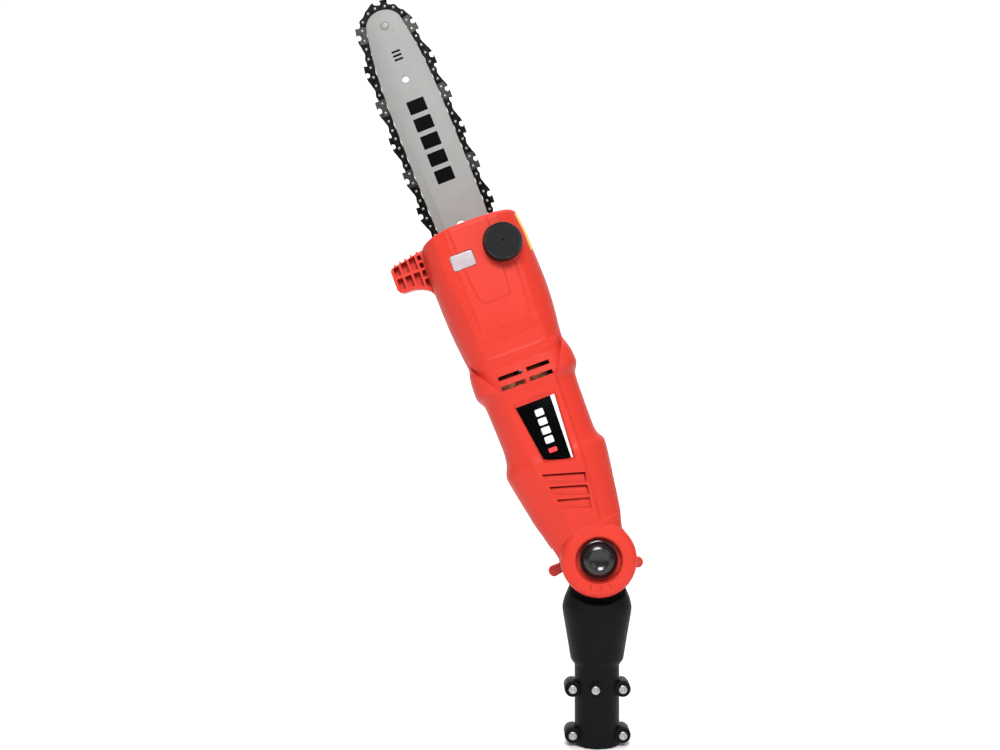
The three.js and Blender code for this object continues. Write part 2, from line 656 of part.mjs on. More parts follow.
function addRotor() {
  const shaftRadius = 4;
  const bore = (z0, z1) => pinZ(AXIS_U, 0, shaftRadius + GAP, z0, z1);
  const shaft = join(
    pinZ(AXIS_U, 0, shaftRadius, 92, PINION_V[0] - GAP),
    pinZ(AXIS_U, 0, 2.5, 250, PINION_V[1] + 1, 10),
  );
  piece(head, 'motor_shaft', shaft, BRIGHT_STEEL);
  const core = column(gearShape(12, 16, 20.6, 2.2), 142, 188);
  core.translate(AXIS_U, 0, 0);
  const windings = [pinZ(AXIS_U, 0, 17, 130, 143), pinZ(AXIS_U, 0, 17, 187, 200)];
  piece(head, 'armature', cut(join(core, ...windings), bore(120, 205)), COPPER);
  piece(head, 'commutator', ringZ(AXIS_U, 0, shaftRadius + GAP, 12.2, 108, 124), COPPER);
  const disc = ringZ(AXIS_U, 0, shaftRadius + GAP, 30, 216, 217.6, 24);
  const hubRing = ringZ(AXIS_U, 0, shaftRadius + GAP, 9, 208, 217);
  const blades = Array.from({ length: 9 }, (_, k) => {
    const blade = box(8.5, 29, -0.7, 0.7, 208, 216.4);
    blade.rotateZ((k / 9) * 2 * Math.PI);
    blade.translate(AXIS_U, 0, 0);
    return blade;
  });
  piece(head, 'cooling_fan', join(disc, hubRing, ...blades), BLACK);
}

// ------------------------------------------------------------------ gear drive

function addGears() {
  const pinion = column(gearShape(PINION_TEETH, 4.1, 6.1, 0.7), ...PINION_V);
  pinion.rotateZ(-Math.PI / 2);
  pinion.translate(AXIS_U, 0, 0);
  piece(head, 'drive_pinion', cut(pinion, pinZ(AXIS_U, 0, 2.8, 250, 268, 10)), DARK_STEEL);
  const teeth = Array.from({ length: CROWN_TEETH }, (_, k) => {
    const tooth = box(-0.55, 0.55, -8, -4.4, 17.6, 23.4);
    tooth.rotateY(((k + 0.5) / CROWN_TEETH) * 2 * Math.PI);
    tooth.translate(AXIS_U, 0, SPINDLE_V);
    return tooth;
  });
  const disc = turned([
    [6.3, -16], [11, -16], [11, -12], [24, -12], [24, -7], [6.3, -7], [6.3, -16],
  ], AXIS_U, SPINDLE_V);
  piece(head, 'crown_gear', join(disc, ...teeth), DARK_STEEL);
  piece(head, 'spindle_shaft', turned(
    [[0, -26], [5, -26], [5, -18], [6, -18], [6, 30], [0, 30]], AXIS_U, SPINDLE_V, 14,
  ), BRIGHT_STEEL);
  piece(head, 'near_spindle_bearing', ringY(AXIS_U, SPINDLE_V, 5.3, 11, -26, -19), BRIGHT_STEEL);
  piece(head, 'far_spindle_bearing', ringY(AXIS_U, SPINDLE_V, 6.3, 14, FAR_BEARING_Y, 13), BRIGHT_STEEL);
  piece(head, 'drive_sprocket', turned([
    [6.3, 17.5], [9, 17.5], [9, 18.9], [13.1, 18.9], [13.1, 20.2], [11, 20.2], [11, 21.8], [13.1, 21.8],
    [13.1, 23.1], [9, 23.1], [9, 25.5], [6.3, 25.5], [6.3, 17.5],
  ], AXIS_U, SPINDLE_V, 16), DARK_STEEL);
}

function addGearCase() {
  const outside = box(AXIS_U - 34, AXIS_U + 34, -30, 13.3, 232, 310);
  const inside = box(AXIS_U - 31, AXIS_U + 31, -27, 10.3, 235, 307);
  const nearSeat = pinY(AXIS_U, SPINDLE_V, 14, -28, -19);
  const farSeat = pinY(AXIS_U, SPINDLE_V, 17, FAR_BEARING_Y, 11);
  const motorSeat = pinZ(AXIS_U, 0, 12.5, 222, 233);
  piece(head, 'gear_case', cut(
    join(cut(outside, inside), nearSeat, farSeat, motorSeat),
    pinY(AXIS_U, SPINDLE_V, 11.6, -26.3, -10, 16),
    pinY(AXIS_U, SPINDLE_V, 14.6, 4, 20, 16),
    pinZ(AXIS_U, 0, 9.9, 220, 230.3, 16),
    pinZ(AXIS_U, 0, 7, 225, 240),
  ), CAST_ALUMINIUM);
}

// ------------------------------------------------------------------ oiling
const TANK = { u0: -52, u1: 33, y0: -40, y1: 5, v0: 317, v1: 350 };
const NECK_TOP = -47.5;

function tankSolid(wall) {
  const width = TANK.u1 - TANK.u0 - 2 * wall;
  const depth = TANK.y1 - TANK.y0 - 2 * wall;
  const plan = roundedRectangle((TANK.u0 + TANK.u1) / 2, (TANK.y0 + TANK.y1) / 2, width, depth, 12 - wall);
  return column(plan, TANK.v0 + wall, TANK.v1 - wall, 3);
}

function addOiling() {
  const tank = cut(
    join(
      tankSolid(0),
      pinY(CAP_U, CAP_V, 13.3, NECK_TOP, TANK.y0 + 1, 20),
      pinZ(30, -5, 3.4, TANK.v0 - 5, TANK.v0 + 1, 10),
    ),
    tankSolid(2),
    pinY(CAP_U, CAP_V, 11, NECK_TOP - 1, TANK.y0 + 3, 20),
    pinZ(30, -5, 1.6, TANK.v0 - 6, TANK.v0 + 3, 8),
  );
  piece(head, 'oil_tank', tank, TANK_WHITE);
  piece(head, 'oil_cap_seal', ringY(CAP_U, CAP_V, 11.3, 13.3, NECK_TOP - 1.5, NECK_TOP - GAP), RUBBER);
  const recess = NECK_TOP - 1.8;
  const profile = [
    [0, -60], [16.4, -60], [17.7, -59], [CAP_RADIUS, -57.6], [CAP_RADIUS, NEAR_Y - 0.5], [14, NEAR_Y - 0.5],
    [14, recess], [10.6, recess], [10.6, -41], [8.6, -41], [8.6, recess - 2], [0, recess - 2],
  ];
  const grip = Array.from({ length: 11 }, (_, k) => {
    const angle = (k / 11) * 2 * Math.PI;
    return pinY(CAP_U + 19.6 * Math.cos(angle), CAP_V + 19.6 * Math.sin(angle), 1.5, -57, -47.6, 4);
  });
  piece(head, 'oil_cap', cut(turned(profile, CAP_U, CAP_V, 22), ...grip), BLACK);
  const pump = cut(
    join(box(25.2, 36, -12, 6, 262, 286), pinZ(30, -5, 3.4, 285, 291, 10)),
    pinZ(30, -5, 1.6, 280, 292, 8),
  );
  piece(head, 'oil_pump', pump, BLACK);
  piece(head, 'oil_hose', ringZ(30, -5, 1.6, 3.4, 291 + GAP, TANK.v0 - 5 - GAP, 10), RUBBER);
}

// ------------------------------------------------------------------ guide bar
const PLATE_Y = [[18.95, 20.2], [20.3, 21.7], [21.8, 23.05]];
const NOSE_STEPS = 14;

function barShape(inset, noseEnd) {
  const right = BAR_EDGE.map(([width, s]) => [width - inset, s]);
  const left = [...right].reverse().map(([width, s]) => [-width, s]);
  const nose = Array.from({ length: NOSE_STEPS + 1 }, (_, k) => {
    const angle = (k / NOSE_STEPS) * Math.PI;
    return [NOSE_WIDTH * Math.cos(angle), NOSE_S + NOSE_LENGTH * Math.sin(angle)];
  });
  return outline([...right, ...(noseEnd ? nose : []), ...left]);
}

function barHoles(y0, y1) {
  return [
    slab(roundedRectangle(0, STUD_S + 1, 8.9, 34, 4.4), y0, y1),
    pinY(TENSION_X, TENSION_S, 2.6, y0, y1, 10),
    pinY(-2, 84.5, 5.5, y0, y1),
    pinY(0, 246.5, 3.5, y0, y1, 12),
    pinY(0, NOSE_S, 4.3, y0, y1),
  ];
}

function addBar() {
  const names = ['bar_near_plate', 'bar_core_plate', 'bar_far_plate'];
  names.forEach((name, k) => {
    const core = k === 1;
    const [y0, y1] = PLATE_Y[k];
    const plate = slab(barShape(core ? 5.5 : 0, !core), y0, y1);
    const noseRoom = pinY(0, NOSE_S, 16.4, y0 - 1, y1 + 1, 20);
    piece(bar, name, cut(plate, ...barHoles(y0 - 1, y1 + 1), ...(core ? [noseRoom] : [])), SATIN_STEEL);
  });
  const teeth = gearShape(8, 12.2, 14.2);
  const sprocket = slab(teeth, PLATE_Y[1][0] + 0.1, PLATE_Y[1][1] - 0.1);
  sprocket.translate(0, 0, NOSE_S);
  piece(bar, 'nose_sprocket', cut(sprocket, pinY(0, NOSE_S, 4.3, 15, 25)), DARK_STEEL);
  piece(bar, 'nose_rivet', pinY(0, NOSE_S, 4, PLATE_Y[0][0], PLATE_Y[2][1]), BRIGHT_STEEL);
  const block = cut(
    join(
      box(TENSION_X - 4.5, TENSION_X + 4.5, SCREW_Y - 3.2, 13, TENSION_S - 4.5, TENSION_S + 4.5),
      pinY(TENSION_X, TENSION_S, 2.2, 12, 22.6, 10),
    ),
    pinZ(TENSION_X, SCREW_Y, 2.1, TENSION_S - 6, TENSION_S + 6, 10),
  );
  piece(bar, 'tension_pin_block', block, BRIGHT_STEEL);
  const screw = cut(
    join(
      pinZ(TENSION_X, SCREW_Y, 1.8, 37, 71, 10),
      pinZ(TENSION_X, SCREW_Y, 3, 70.9, 76, 10),
    ),
    box(TENSION_X - 4, TENSION_X + 4, SCREW_Y - 0.5, SCREW_Y + 0.5, 74.5, 77),
  );
  piece(bar, 'tension_screw', screw, BRIGHT_STEEL);
}

function addBarFixing() {
  const [u, v] = STUD;
  piece(head, 'bar_stud', join(pinY(u, v, 7, 9.6, 13.3), pinY(u, v, 4, 13.2, 53)), BRIGHT_STEEL);
  const plate = slab(outline([[-48, 302], [27, 302], [27, 349], [-48, 349]]), FLOOR_Y + GAP, RIM_Y - GAP);
  const [slotU, slotV] = TENSION_PIN;
  piece(head, 'bar_pad_plate', cut(
    plate,
    pinY(u, v, 4.4, 10, 25),
    slab(roundedRectangle(slotU + 0.1, slotV - 2, 5.6, 10.6, 2.7), 10, 25),
  ), SATIN_STEEL);
  const nut = cut(
    join(pinY(u, v, 10, 46.4, 48.4, 20), pinY(u, v, 7.5, 48.3, 55.5, 6)),
    pinY(u, v, 4.4, 45, 57),
  );
  piece(head, 'cover_nut', nut, BRIGHT_STEEL);
}

// ------------------------------------------------------------------ saw chain
const STRAP_INNER = -2.5;        // clears the widening bar when the bar is slid back
const LINK_ROWS = {
  chain_near_links: { y: [19, 20.15], inner: STRAP_INNER, strap: 3.6, cutter: 7.8, first: 3 },
  chain_drive_links: { y: [20.4, 21.6], inner: -5, strap: 3.4, cutter: 3.4, first: 0 },
  chain_far_links: { y: [21.85, 23], inner: STRAP_INNER, strap: 3.6, cutter: 7.8, first: 7 },
};
const CUTTER_EVERY = 8;

// The rivet centres' path: under the drive sprocket, up the tight run, over the nose, down the slack run.
function rivetPath() {
  const points = (pairs) => pairs.map(([x, s]) => new THREE.Vector2(x, s));
  const edge = BAR_EDGE.slice(3);
  const tight = [[22.2, 30], [27, 60], ...edge.map(([width, s]) => [width + TIGHT_RISE, s])];
  const slack = [[-22.6, 30], [-27.7, 60], ...edge.map(([width, s]) => [-width - SLACK_RISE, s])];
  const noseX = (TIGHT_RISE - SLACK_RISE) / 2;
  const noseWidth = NOSE_WIDTH + (TIGHT_RISE + SLACK_RISE) / 2;
  const path = new THREE.Path();
  path.absarc(0, 0, SPROCKET_RIVETS, THREE.MathUtils.degToRad(190), THREE.MathUtils.degToRad(350), false);
  path.splineThru(points([...tight, [noseX + noseWidth, NOSE_S]]));
  path.absellipse(noseX, NOSE_S, noseWidth, NOSE_LENGTH + TIGHT_RISE, 0, Math.PI);
  const start = path.curves[0].getPoint(0);
  path.splineThru([...points(slack.reverse()), start]);
  return path;
}

function offsetPoints(path, reach) {
  return Array.from({ length: CHAIN_RIVETS }, (_, k) => {
    const t = (k + CHAIN_PHASE) / CHAIN_RIVETS;
    const point = path.getPointAt(t);
    const along = path.getTangentAt(t);
    const out = reach(k);
    return [point.x + along.y * out, point.y - along.x * out];
  });
}

function addChain() {
  const path = rivetPath();
  Object.entries(LINK_ROWS).forEach(([name, row]) => {
    const cutter = (k) => (k + CUTTER_EVERY - row.first) % CUTTER_EVERY === 0;
    const shape = outline(offsetPoints(path, (k) => (cutter(k) ? row.cutter : row.strap)));
    shape.holes.push(outline(offsetPoints(path, () => row.inner)));
    piece(bar, name, slab(shape, ...row.y), DARK_STEEL);
  });
}

// ------------------------------------------------------------------ sprocket cover
function addCover() {
  const section = roundedSquare(4.6, 16);
  const outside = common(loft(section, HEAD_STATIONS), box(-90, 90, COVER_Y, 60, STEP_V + GAP, 400));
  const inside = loft(section, insetStations(STEP_V + WALL + GAP, CAVITY_END, WALL));
  const room = common(inside, box(-90, 90, COVER_Y - 5, 60, 200, 400));
  const boss = pinY(STUD[0], STUD[1], 9, 26, 44);
  piece(head, 'sprocket_cover', cut(
    join(cut(outside, room), boss),
    box(-56, 31, 0, 28, 350, 400),
    pinY(STUD[0], STUD[1], 4.6, 10, 60),
  ), BLACK);
}

// ------------------------------------------------------------------ assembly
addSocket();
addHinge();
addHousing();
addNearTrim();
addBranchStop();
addStator();
addRotor();
addGears();
addGearCase();
addOiling();
addBar();
addBarFixing();
addChain();
addCover();

export default saw;
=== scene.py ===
import json
import math

import bmesh
import bpy
import numpy as np
from mathutils import Matrix, Vector


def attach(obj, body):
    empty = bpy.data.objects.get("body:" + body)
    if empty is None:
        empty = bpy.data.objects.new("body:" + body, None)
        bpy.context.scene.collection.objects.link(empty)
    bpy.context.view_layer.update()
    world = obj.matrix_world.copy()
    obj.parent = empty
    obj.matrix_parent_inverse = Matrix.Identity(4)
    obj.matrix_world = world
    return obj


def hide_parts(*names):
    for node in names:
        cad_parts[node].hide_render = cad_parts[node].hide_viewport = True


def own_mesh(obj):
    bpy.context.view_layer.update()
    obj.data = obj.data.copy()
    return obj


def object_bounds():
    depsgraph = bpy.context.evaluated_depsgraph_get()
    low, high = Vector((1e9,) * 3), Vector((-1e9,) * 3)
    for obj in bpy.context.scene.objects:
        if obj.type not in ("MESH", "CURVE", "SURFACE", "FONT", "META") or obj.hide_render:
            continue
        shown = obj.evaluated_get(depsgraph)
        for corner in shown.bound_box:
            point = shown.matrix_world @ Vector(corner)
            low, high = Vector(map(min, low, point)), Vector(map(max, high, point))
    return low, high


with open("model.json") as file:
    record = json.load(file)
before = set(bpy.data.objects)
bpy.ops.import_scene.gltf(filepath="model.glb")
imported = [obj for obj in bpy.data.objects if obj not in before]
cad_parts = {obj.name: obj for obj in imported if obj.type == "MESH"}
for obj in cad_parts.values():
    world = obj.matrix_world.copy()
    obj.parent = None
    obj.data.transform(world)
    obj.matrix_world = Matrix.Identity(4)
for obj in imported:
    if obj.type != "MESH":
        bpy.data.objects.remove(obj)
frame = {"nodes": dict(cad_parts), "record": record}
cad_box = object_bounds()

# ------------------------------------------------------------------ driving dimensions
MM = 0.001
PIVOT_HEIGHT = 191
HEAD_TILT = math.radians(20)
BAR_TILT = math.radians(1.7)
AXIS_U = -9.5
SPINDLE_V = 281.5
WALL = 3
PARTING = 0.15                   # half the gap between two moulded halves

HUB_RADIUS = 38.4
HUB_FACE = 34
HUB_INNER = 14
TONGUE_CLEARANCE = 47
WELL_RADIUS = 22.9
WELL_FLOOR = -20

STEP_V = 240                     # chain compartment: start, floor and rim
FLOOR_Y = 16.6
RIM_Y = 18.9
COVER_Y = 19.3
COVER_GAP = 0.3
CHAIN_MOUTH = (-56, 31)          # where bar and chain leave the housing
ROOM_START, ROOM_END = 235, 356  # room for the gears and the oil tank
NEAR_OUT, FAR_OUT = -70, 60      # clear of the head, so that cutters reach right through its walls
SIDE_OUT = 90
BOLT_HOLE = 4.3

CAP_PLACE = (18, 330)
CAP_RADIUS = 18.7
CAP_TOP = -60
WINDOW = (-25.4, 326, 24.2, 16.5)
LABEL_FLOOR = -40.7              # floor and mouth of the name plate's pocket
LABEL_MOUTH = -48
PRINT_Y = (-41.3, -41.22)

TIGHT_RISE = 3.6                 # rivet line outside the bar's edge, on the run pulled tight
SLACK_RISE = 4.4                 # and on the slack run
TIGHT_FOOT = 3.35                # how far a link's feet reach down to the rail, on each run
SLACK_FOOT = 4.15
TANG_DEPTH = 8.4
STRAP_STRETCH = 0.07             # straps are longer, and drive links shorter, than the mean pitch
TAIL_END = 92                    # below this the bar widens, so the links there leave room for its slide
SLIDE_ROOM = 0.8
SPROCKET_RIVETS = 18
NOSE_S = 305.6
NOSE_WIDTH = 19.3
NOSE_LENGTH = 16.6
CHAIN_RIVETS = 76
CHAIN_PHASE = 0.8
CUTTER_EVERY = 8
NEAR_CUTTER = 3
FAR_CUTTER = 7
STUD_S = 53.5
TENSION_X = -15
TENSION_S = 48

CLAMP_OFFSET = 25.3
CLAMP_HEIGHTS = (11.6, 58.3)
LOCATING = (-3, 60)

SAW = Matrix.Scale(MM, 4)
HEAD = SAW @ Matrix.Translation((0, 0, PIVOT_HEIGHT)) @ Matrix.Rotation(-HEAD_TILT, 4, "Y")
BAR = HEAD @ Matrix.Translation((AXIS_U, 0, SPINDLE_V)) @ Matrix.Rotation(-BAR_TILT, 4, "Y")


# ------------------------------------------------------------------ small mathematics
def smoothstep(low, high, value):
    share = np.clip((value - low) / (high - low), 0, 1)
    return share * share * (3 - 2 * share)


def polygon_distance(across, along, corners):
    """Distance to a polygon's edge, negative inside it."""
    nearest = np.full(across.shape, np.inf)
    inside = np.zeros(across.shape, bool)
    for k, (a1, b1) in enumerate(corners):
        a0, b0 = corners[k - 1]
        run, rise = a1 - a0, b1 - b0
        share = np.clip(((across - a0) * run + (along - b0) * rise) / (run * run + rise * rise), 0, 1)
        nearest = np.minimum(nearest, np.hypot(across - a0 - share * run, along - b0 - share * rise))
        if rise:
            crosses = ((b0 > along) != (b1 > along)) & (across < a0 + (along - b0) * run / rise)
            inside ^= crosses
    return np.where(inside, -nearest, nearest)


def circle(across, along, radius, count=32):
    return arc(across, along, radius, 0, 360 - 360 / count, count)


def arc(across, along, radius, start, stop, count):
    turns = np.radians(np.linspace(start, stop, count))
    return [(across + radius * math.cos(t), along + radius * math.sin(t)) for t in turns]


def rounded(corners, radius, steps=5):
    """The polygon with each corner replaced by a short curve."""
    points = []
    for k, corner in enumerate(corners):
        here = Vector(corner)
        before = Vector(corners[k - 1]) - here
        after = Vector(corners[(k + 1) % len(corners)]) - here
        reach = min(radius, 0.48 * before.length, 0.48 * after.length)
        first = here + before.normalized() * reach
        last = here + after.normalized() * reach
        for t in np.linspace(0, 1, steps + 1):
            points.append(tuple((1 - t) ** 2 * first + 2 * t * (1 - t) * here + t * t * last))
    return points


def rectangle(across, along, width, height, radius):
    a, b = width / 2, height / 2
    corners = [(-a, -b), (a, -b), (a, b), (-a, b)]
    return rounded([(across + x, along + y) for x, y in corners], radius)


def hexagon(across, along, across_corners):
    return circle(across, along, across_corners, 6)


def offset(points, distance):
    """The outline moved outwards by distance."""
    points = np.array(points, float)
    run = np.roll(points, -1, axis=0) - points
    run /= np.linalg.norm(run, axis=1)[:, None] + 1e-9
    normal = np.stack([run[:, 1], -run[:, 0]], axis=1)
    both = normal + np.roll(normal, 1, axis=0)
    both /= (both * both).sum(axis=1)[:, None] / 2 + 1e-9
    x, z = points.T
    turning = (x * np.roll(z, -1) - np.roll(x, -1) * z).sum()
    return points + both * distance * np.sign(turning)


def spline(points, per_span=16):
    """A smooth curve through the points."""
    points = np.array(points, float)
    padded = np.vstack([points[:1], points, points[-1:]])
    t = np.linspace(0, 1, per_span, endpoint=False)[:, None]
    spans = []
    for p0, p1, p2, p3 in zip(padded, padded[1:], padded[2:], padded[3:]):
        m0, m1 = (p2 - p0) / 2, (p3 - p1) / 2
        spans.append((2 * t**3 - 3 * t**2 + 1) * p1 + (t**3 - 2 * t**2 + t) * m0
                     + (3 * t**2 - 2 * t**3) * p2 + (t**3 - t**2) * m1)
    return np.vstack([*spans, points[-1:]])


def bar_point(x, s):
    """A point of the bar's frame, in the head's frame."""
    turn_cos, turn_sin = math.cos(BAR_TILT), math.sin(BAR_TILT)
    return AXIS_U + x * turn_cos - s * turn_sin, SPINDLE_V + x * turn_sin + s * turn_cos


# ------------------------------------------------------------------ meshes
def linked(name, data):
    """A new object, put into the scene."""
    obj = bpy.data.objects.new(name, data)
    bpy.context.scene.collection.objects.link(obj)
    return obj


def mesh_object(name, points, faces, place):
    turned = np.asarray(points, float) @ np.array(place.to_3x3()).T + np.array(place.translation)
    mesh = bpy.data.meshes.new(name)
    mesh.from_pydata(turned.tolist(), [], faces)
    made = bmesh.new()
    made.from_mesh(mesh)
    bmesh.ops.recalc_face_normals(made, faces=made.faces)
    made.to_mesh(mesh)
    made.free()
    return linked(name, mesh)


def skin(name, rings, place, closed=False):
    """A closed body through rings of equally many points, with flat ends unless it closes on itself."""
    count, size = len(rings), len(rings[0])
    faces = []
    for r in range(count if closed else count - 1):
        low, high = r * size, (r + 1) % count * size
        faces += [(low + k, low + (k + 1) % size, high + (k + 1) % size, high + k) for k in range(size)]
    if not closed:
        faces += [tuple(range(size))[::-1], tuple(range((count - 1) * size, count * size))]
    return mesh_object(name, np.vstack(rings), faces, place)


def at_depth(shape, y):
    """A shape drawn across and along, as points at one depth or at a depth for each point."""
    across, along = np.array(shape, float).T
    return np.stack([across, np.broadcast_to(y, across.shape), along], axis=1)


def slab(name, shape, y0, y1, place, edge=0.0, steps=1):
    """A shape drawn across and along, from y0 to y1, with its two rims rounded by edge."""
    turns = np.linspace(0, math.pi / 2, steps + 1) if edge else [math.pi / 2]
    layers = [(edge * (1 - math.sin(t)), y0 + edge * (1 - math.cos(t))) for t in turns]
    layers += [(inset, y0 + y1 - y) for inset, y in reversed(layers)]
    return skin(name, [at_depth(offset(shape, -inset), y) for inset, y in layers], place)


def lathe(name, profile, across, along, place, sides=48, ridges=None, closed=False):
    """A profile of (radius, y) turned about y. ridges is (count, depth, from y, to y)."""
    turns = np.linspace(0, 2 * math.pi, sides, endpoint=False)
    rings = []
    for radius, y in profile:
        reach = np.full(sides, max(radius, 0.02))
        if ridges and ridges[2] <= y <= ridges[3]:
            reach = reach - ridges[1] * smoothstep(-0.35, 0.35, np.cos(turns * ridges[0]))
        rings.append(np.stack([across + reach * np.cos(turns), np.full(sides, y),
                               along + reach * np.sin(turns)], axis=1))
    return skin(name, rings, place, closed)


def tube(inner, outer, y0, y1, across, along, place, sides):
    profile = [(inner, y0), (outer, y0), (outer, y1), (inner, y1)]
    return lathe("tube", profile, across, along, place, sides, closed=True)


def box(a0, a1, y0, y1, b0, b1, place):
    return slab("cutter", [(a0, b0), (a1, b0), (a1, b1), (a0, b1)], y0, y1, place)


def pin(across, along, radius, y0, y1, place, sides=40):
    return slab("cutter", circle(across, along, radius, sides), y0, y1, place)


def settle(obj):
    """Makes the modifiers' result the object's own mesh."""
    graph = bpy.context.evaluated_depsgraph_get()
    mesh = bpy.data.meshes.new_from_object(obj.evaluated_get(graph))
    obj.modifiers.clear()
    obj.data = mesh
    return obj


def combine(operation, base, tools):
    for tool in tools:
        modifier = base.modifiers.new("shape", "BOOLEAN")
        modifier.operation = operation
        modifier.solver = "MANIFOLD"
        modifier.object = tool
    settle(base)
    for tool in tools:
        bpy.data.objects.remove(tool)
    return base


def cut(base, *tools):
    return combine("DIFFERENCE", base, tools)


def join(base, *tools):
    return combine("UNION", base, tools)


def keep(base, tool):
    return combine("INTERSECT", base, [tool])


def merged(name, parts):
    """Separate bodies as one object, without joining their solids."""
    made = bmesh.new()
    for part in parts:
        made.from_mesh(part.data)
    mesh = bpy.data.meshes.new(name)
    made.to_mesh(mesh)
    made.free()
    for part in parts:
        bpy.data.objects.remove(part)
    return linked(name, mesh)


def piece(obj, name, body, slot, nodes=(), angle=30, look=None):
    """Names a finished shape, gives it its material, and ties it to its CAD body."""
    obj.name = name
    obj.data.name = name
    obj.data.shade_smooth()
    obj.data.set_sharp_from_angle(angle=math.radians(angle))
    obj.data.materials.clear()
    obj.data.materials.append(MATERIALS[look or slot])
    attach(obj, body)
    if nodes:
        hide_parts(*nodes)
    return obj


# ------------------------------------------------------------------ materials
class Paint:
    """A procedural material being made: a Principled shader and the nodes that feed it."""

    def __init__(self, name):
        self.material = bpy.data.materials.new(name)
        self.material.use_nodes = True
        self.tree = self.material.node_tree
        self.shader = self.tree.nodes["Principled BSDF"]
        self.place = self.node("ShaderNodeTexCoord", {}).outputs["Object"]

    def node(self, kind, inputs, **settings):
        made = self.tree.nodes.new(kind)
        for key, value in settings.items():
            setattr(made, key, value)
        for key, value in inputs.items():
            if isinstance(value, bpy.types.NodeSocket):
                self.tree.links.new(value, made.inputs[key])
            else:
                made.inputs[key].default_value = value
        return made

    def dress(self, colour, roughness, normal, numbers):
        """Feeds the shader, sets its plain numbers and hands over the material."""
        for socket, value in (("Base Color", colour), ("Roughness", roughness), ("Normal", normal)):
            self.tree.links.new(value, self.shader.inputs[socket])
        for socket, value in numbers.items():
            self.shader.inputs[socket].default_value = value
        return self.material

    def noise(self, size, detail=3.0, stretch=None, lean=0.0):
        """Noise with features of size millimetres, drawn out by stretch in a frame leaning left by lean."""
        place = self.place
        if stretch:
            turned = self.node("ShaderNodeMapping", {"Vector": place, "Rotation": (0, lean, 0)}).outputs[0]
            place = self.node("ShaderNodeMapping", {"Vector": turned, "Scale": stretch}).outputs[0]
        made = self.node("ShaderNodeTexNoise", {"Vector": place, "Scale": 1000 / size, "Detail": detail})
        return made.outputs["Fac"]

    def span(self, value, low, high, start, stop):
        inputs = {"Value": value, "From Min": low, "From Max": high, "To Min": start, "To Max": stop}
        return self.node("ShaderNodeMapRange", inputs).outputs["Result"]

    def blend(self, share, first, second):
        made = self.node("ShaderNodeMix", {}, data_type="RGBA")
        for index, value in ((0, share), (6, first), (7, second)):
            if isinstance(value, bpy.types.NodeSocket):
                self.tree.links.new(value, made.inputs[index])
            else:
                made.inputs[index].default_value = (*value, 1)
        return made.outputs[2]

    def times(self, first, second):
        return self.node("ShaderNodeMath", {0: first, 1: second}, operation="MULTIPLY").outputs[0]

    def bump(self, height, depth, normal=None):
        """Relief of depth millimetres."""
        inputs = {"Height": height, "Strength": 1.0, "Distance": depth * MM}
        if normal:
            inputs["Normal"] = normal
        return self.node("ShaderNodeBump", inputs).outputs["Normal"]

    def soft_edges(self, radius):
        made = self.node("ShaderNodeBevel", {"Radius": radius * MM}, samples=6)
        return made.outputs["Normal"]

    def edge_mask(self, radius):
        """1 along sharp edges, 0 on plain faces."""
        plain = self.node("ShaderNodeNewGeometry", {}).outputs["Normal"]
        inputs = {0: self.soft_edges(radius), 1: plain}
        agree = self.node("ShaderNodeVectorMath", inputs, operation="DOT_PRODUCT").outputs["Value"]
        return self.span(agree, 0.995, 0.86, 0.0, 1.0)


def shade(colour, share):
    return tuple(min(1.0, c * share) for c in colour)


def moulded(name, colour, roughness, grain=0.012, grain_size=0.9, edge_wear_and_highlight=(1.25, 0.5), soft=0.35, gloss=0.3):
    """Moulded plastic: fine spark-eroded grain, faint flow marks, and lighter edges that are partly rubbed
    wear and partly a painted highlight.
    """
    paint = Paint(name)
    cloud = paint.noise(45, 4)
    fleck = paint.noise(2.2, 2)
    grain_noise = paint.noise(grain_size, 2)
    base = paint.blend(cloud, shade(colour, 0.93), shade(colour, 1.06))
    base = paint.blend(paint.span(fleck, 0.35, 0.75, 0.0, 0.35), base, shade(colour, 1.12))
    # lighter edges: rubbed wear, and also a painted highlight along the edges
    edge_rub_and_highlight = paint.times(paint.edge_mask(soft * 1.6), paint.span(paint.noise(7, 3), 0.42, 0.62, 0.0, edge_wear_and_highlight[1]))
    lighter = tuple(min(1.0, c * edge_wear_and_highlight[0] + 0.02) for c in colour)
    return paint.dress(
        paint.blend(edge_rub_and_highlight, base, lighter),
        paint.span(paint.noise(14, 4), 0.3, 0.7, roughness - 0.05, roughness + 0.06),
        paint.bump(grain_noise, grain, paint.soft_edges(soft)),
        {"Specular IOR Level": gloss},
    )


def metal(name, colour, roughness, stretch=None, lean=0.0, line=0.004, stain=None, soft=0.15, metallic=1.0):
    """Bare or plated metal: tool marks drawn out along the part, patchy sheen, and brighter edges that are
    partly rubbed wear and partly a painted highlight.
    """
    paint = Paint(name)
    marks = paint.noise(1.2, 4, stretch or (1, 1, 1), lean)
    cloud = paint.noise(22, 4)
    base = paint.blend(cloud, shade(colour, 0.88), shade(colour, 1.08))
    base = paint.blend(paint.span(marks, 0.3, 0.7, 0.0, 0.5), base, shade(colour, 1.15))
    if stain:
        base = paint.blend(paint.span(paint.noise(9, 5), 0.52, 0.75, 0.0, 0.7), base, stain)
    # brighter edges: rubbed wear, and also a painted highlight along the edges
    edge_rub_and_highlight = paint.times(paint.edge_mask(soft * 2), paint.span(paint.noise(5, 2), 0.35, 0.6, 0.1, 0.8))
    return paint.dress(
        paint.blend(edge_rub_and_highlight, base, shade(colour, 1.5)),
        paint.span(marks, 0.25, 0.75, roughness - 0.07, roughness + 0.09),
        paint.bump(marks, line, paint.soft_edges(soft)),
        {"Metallic": metallic},
    )


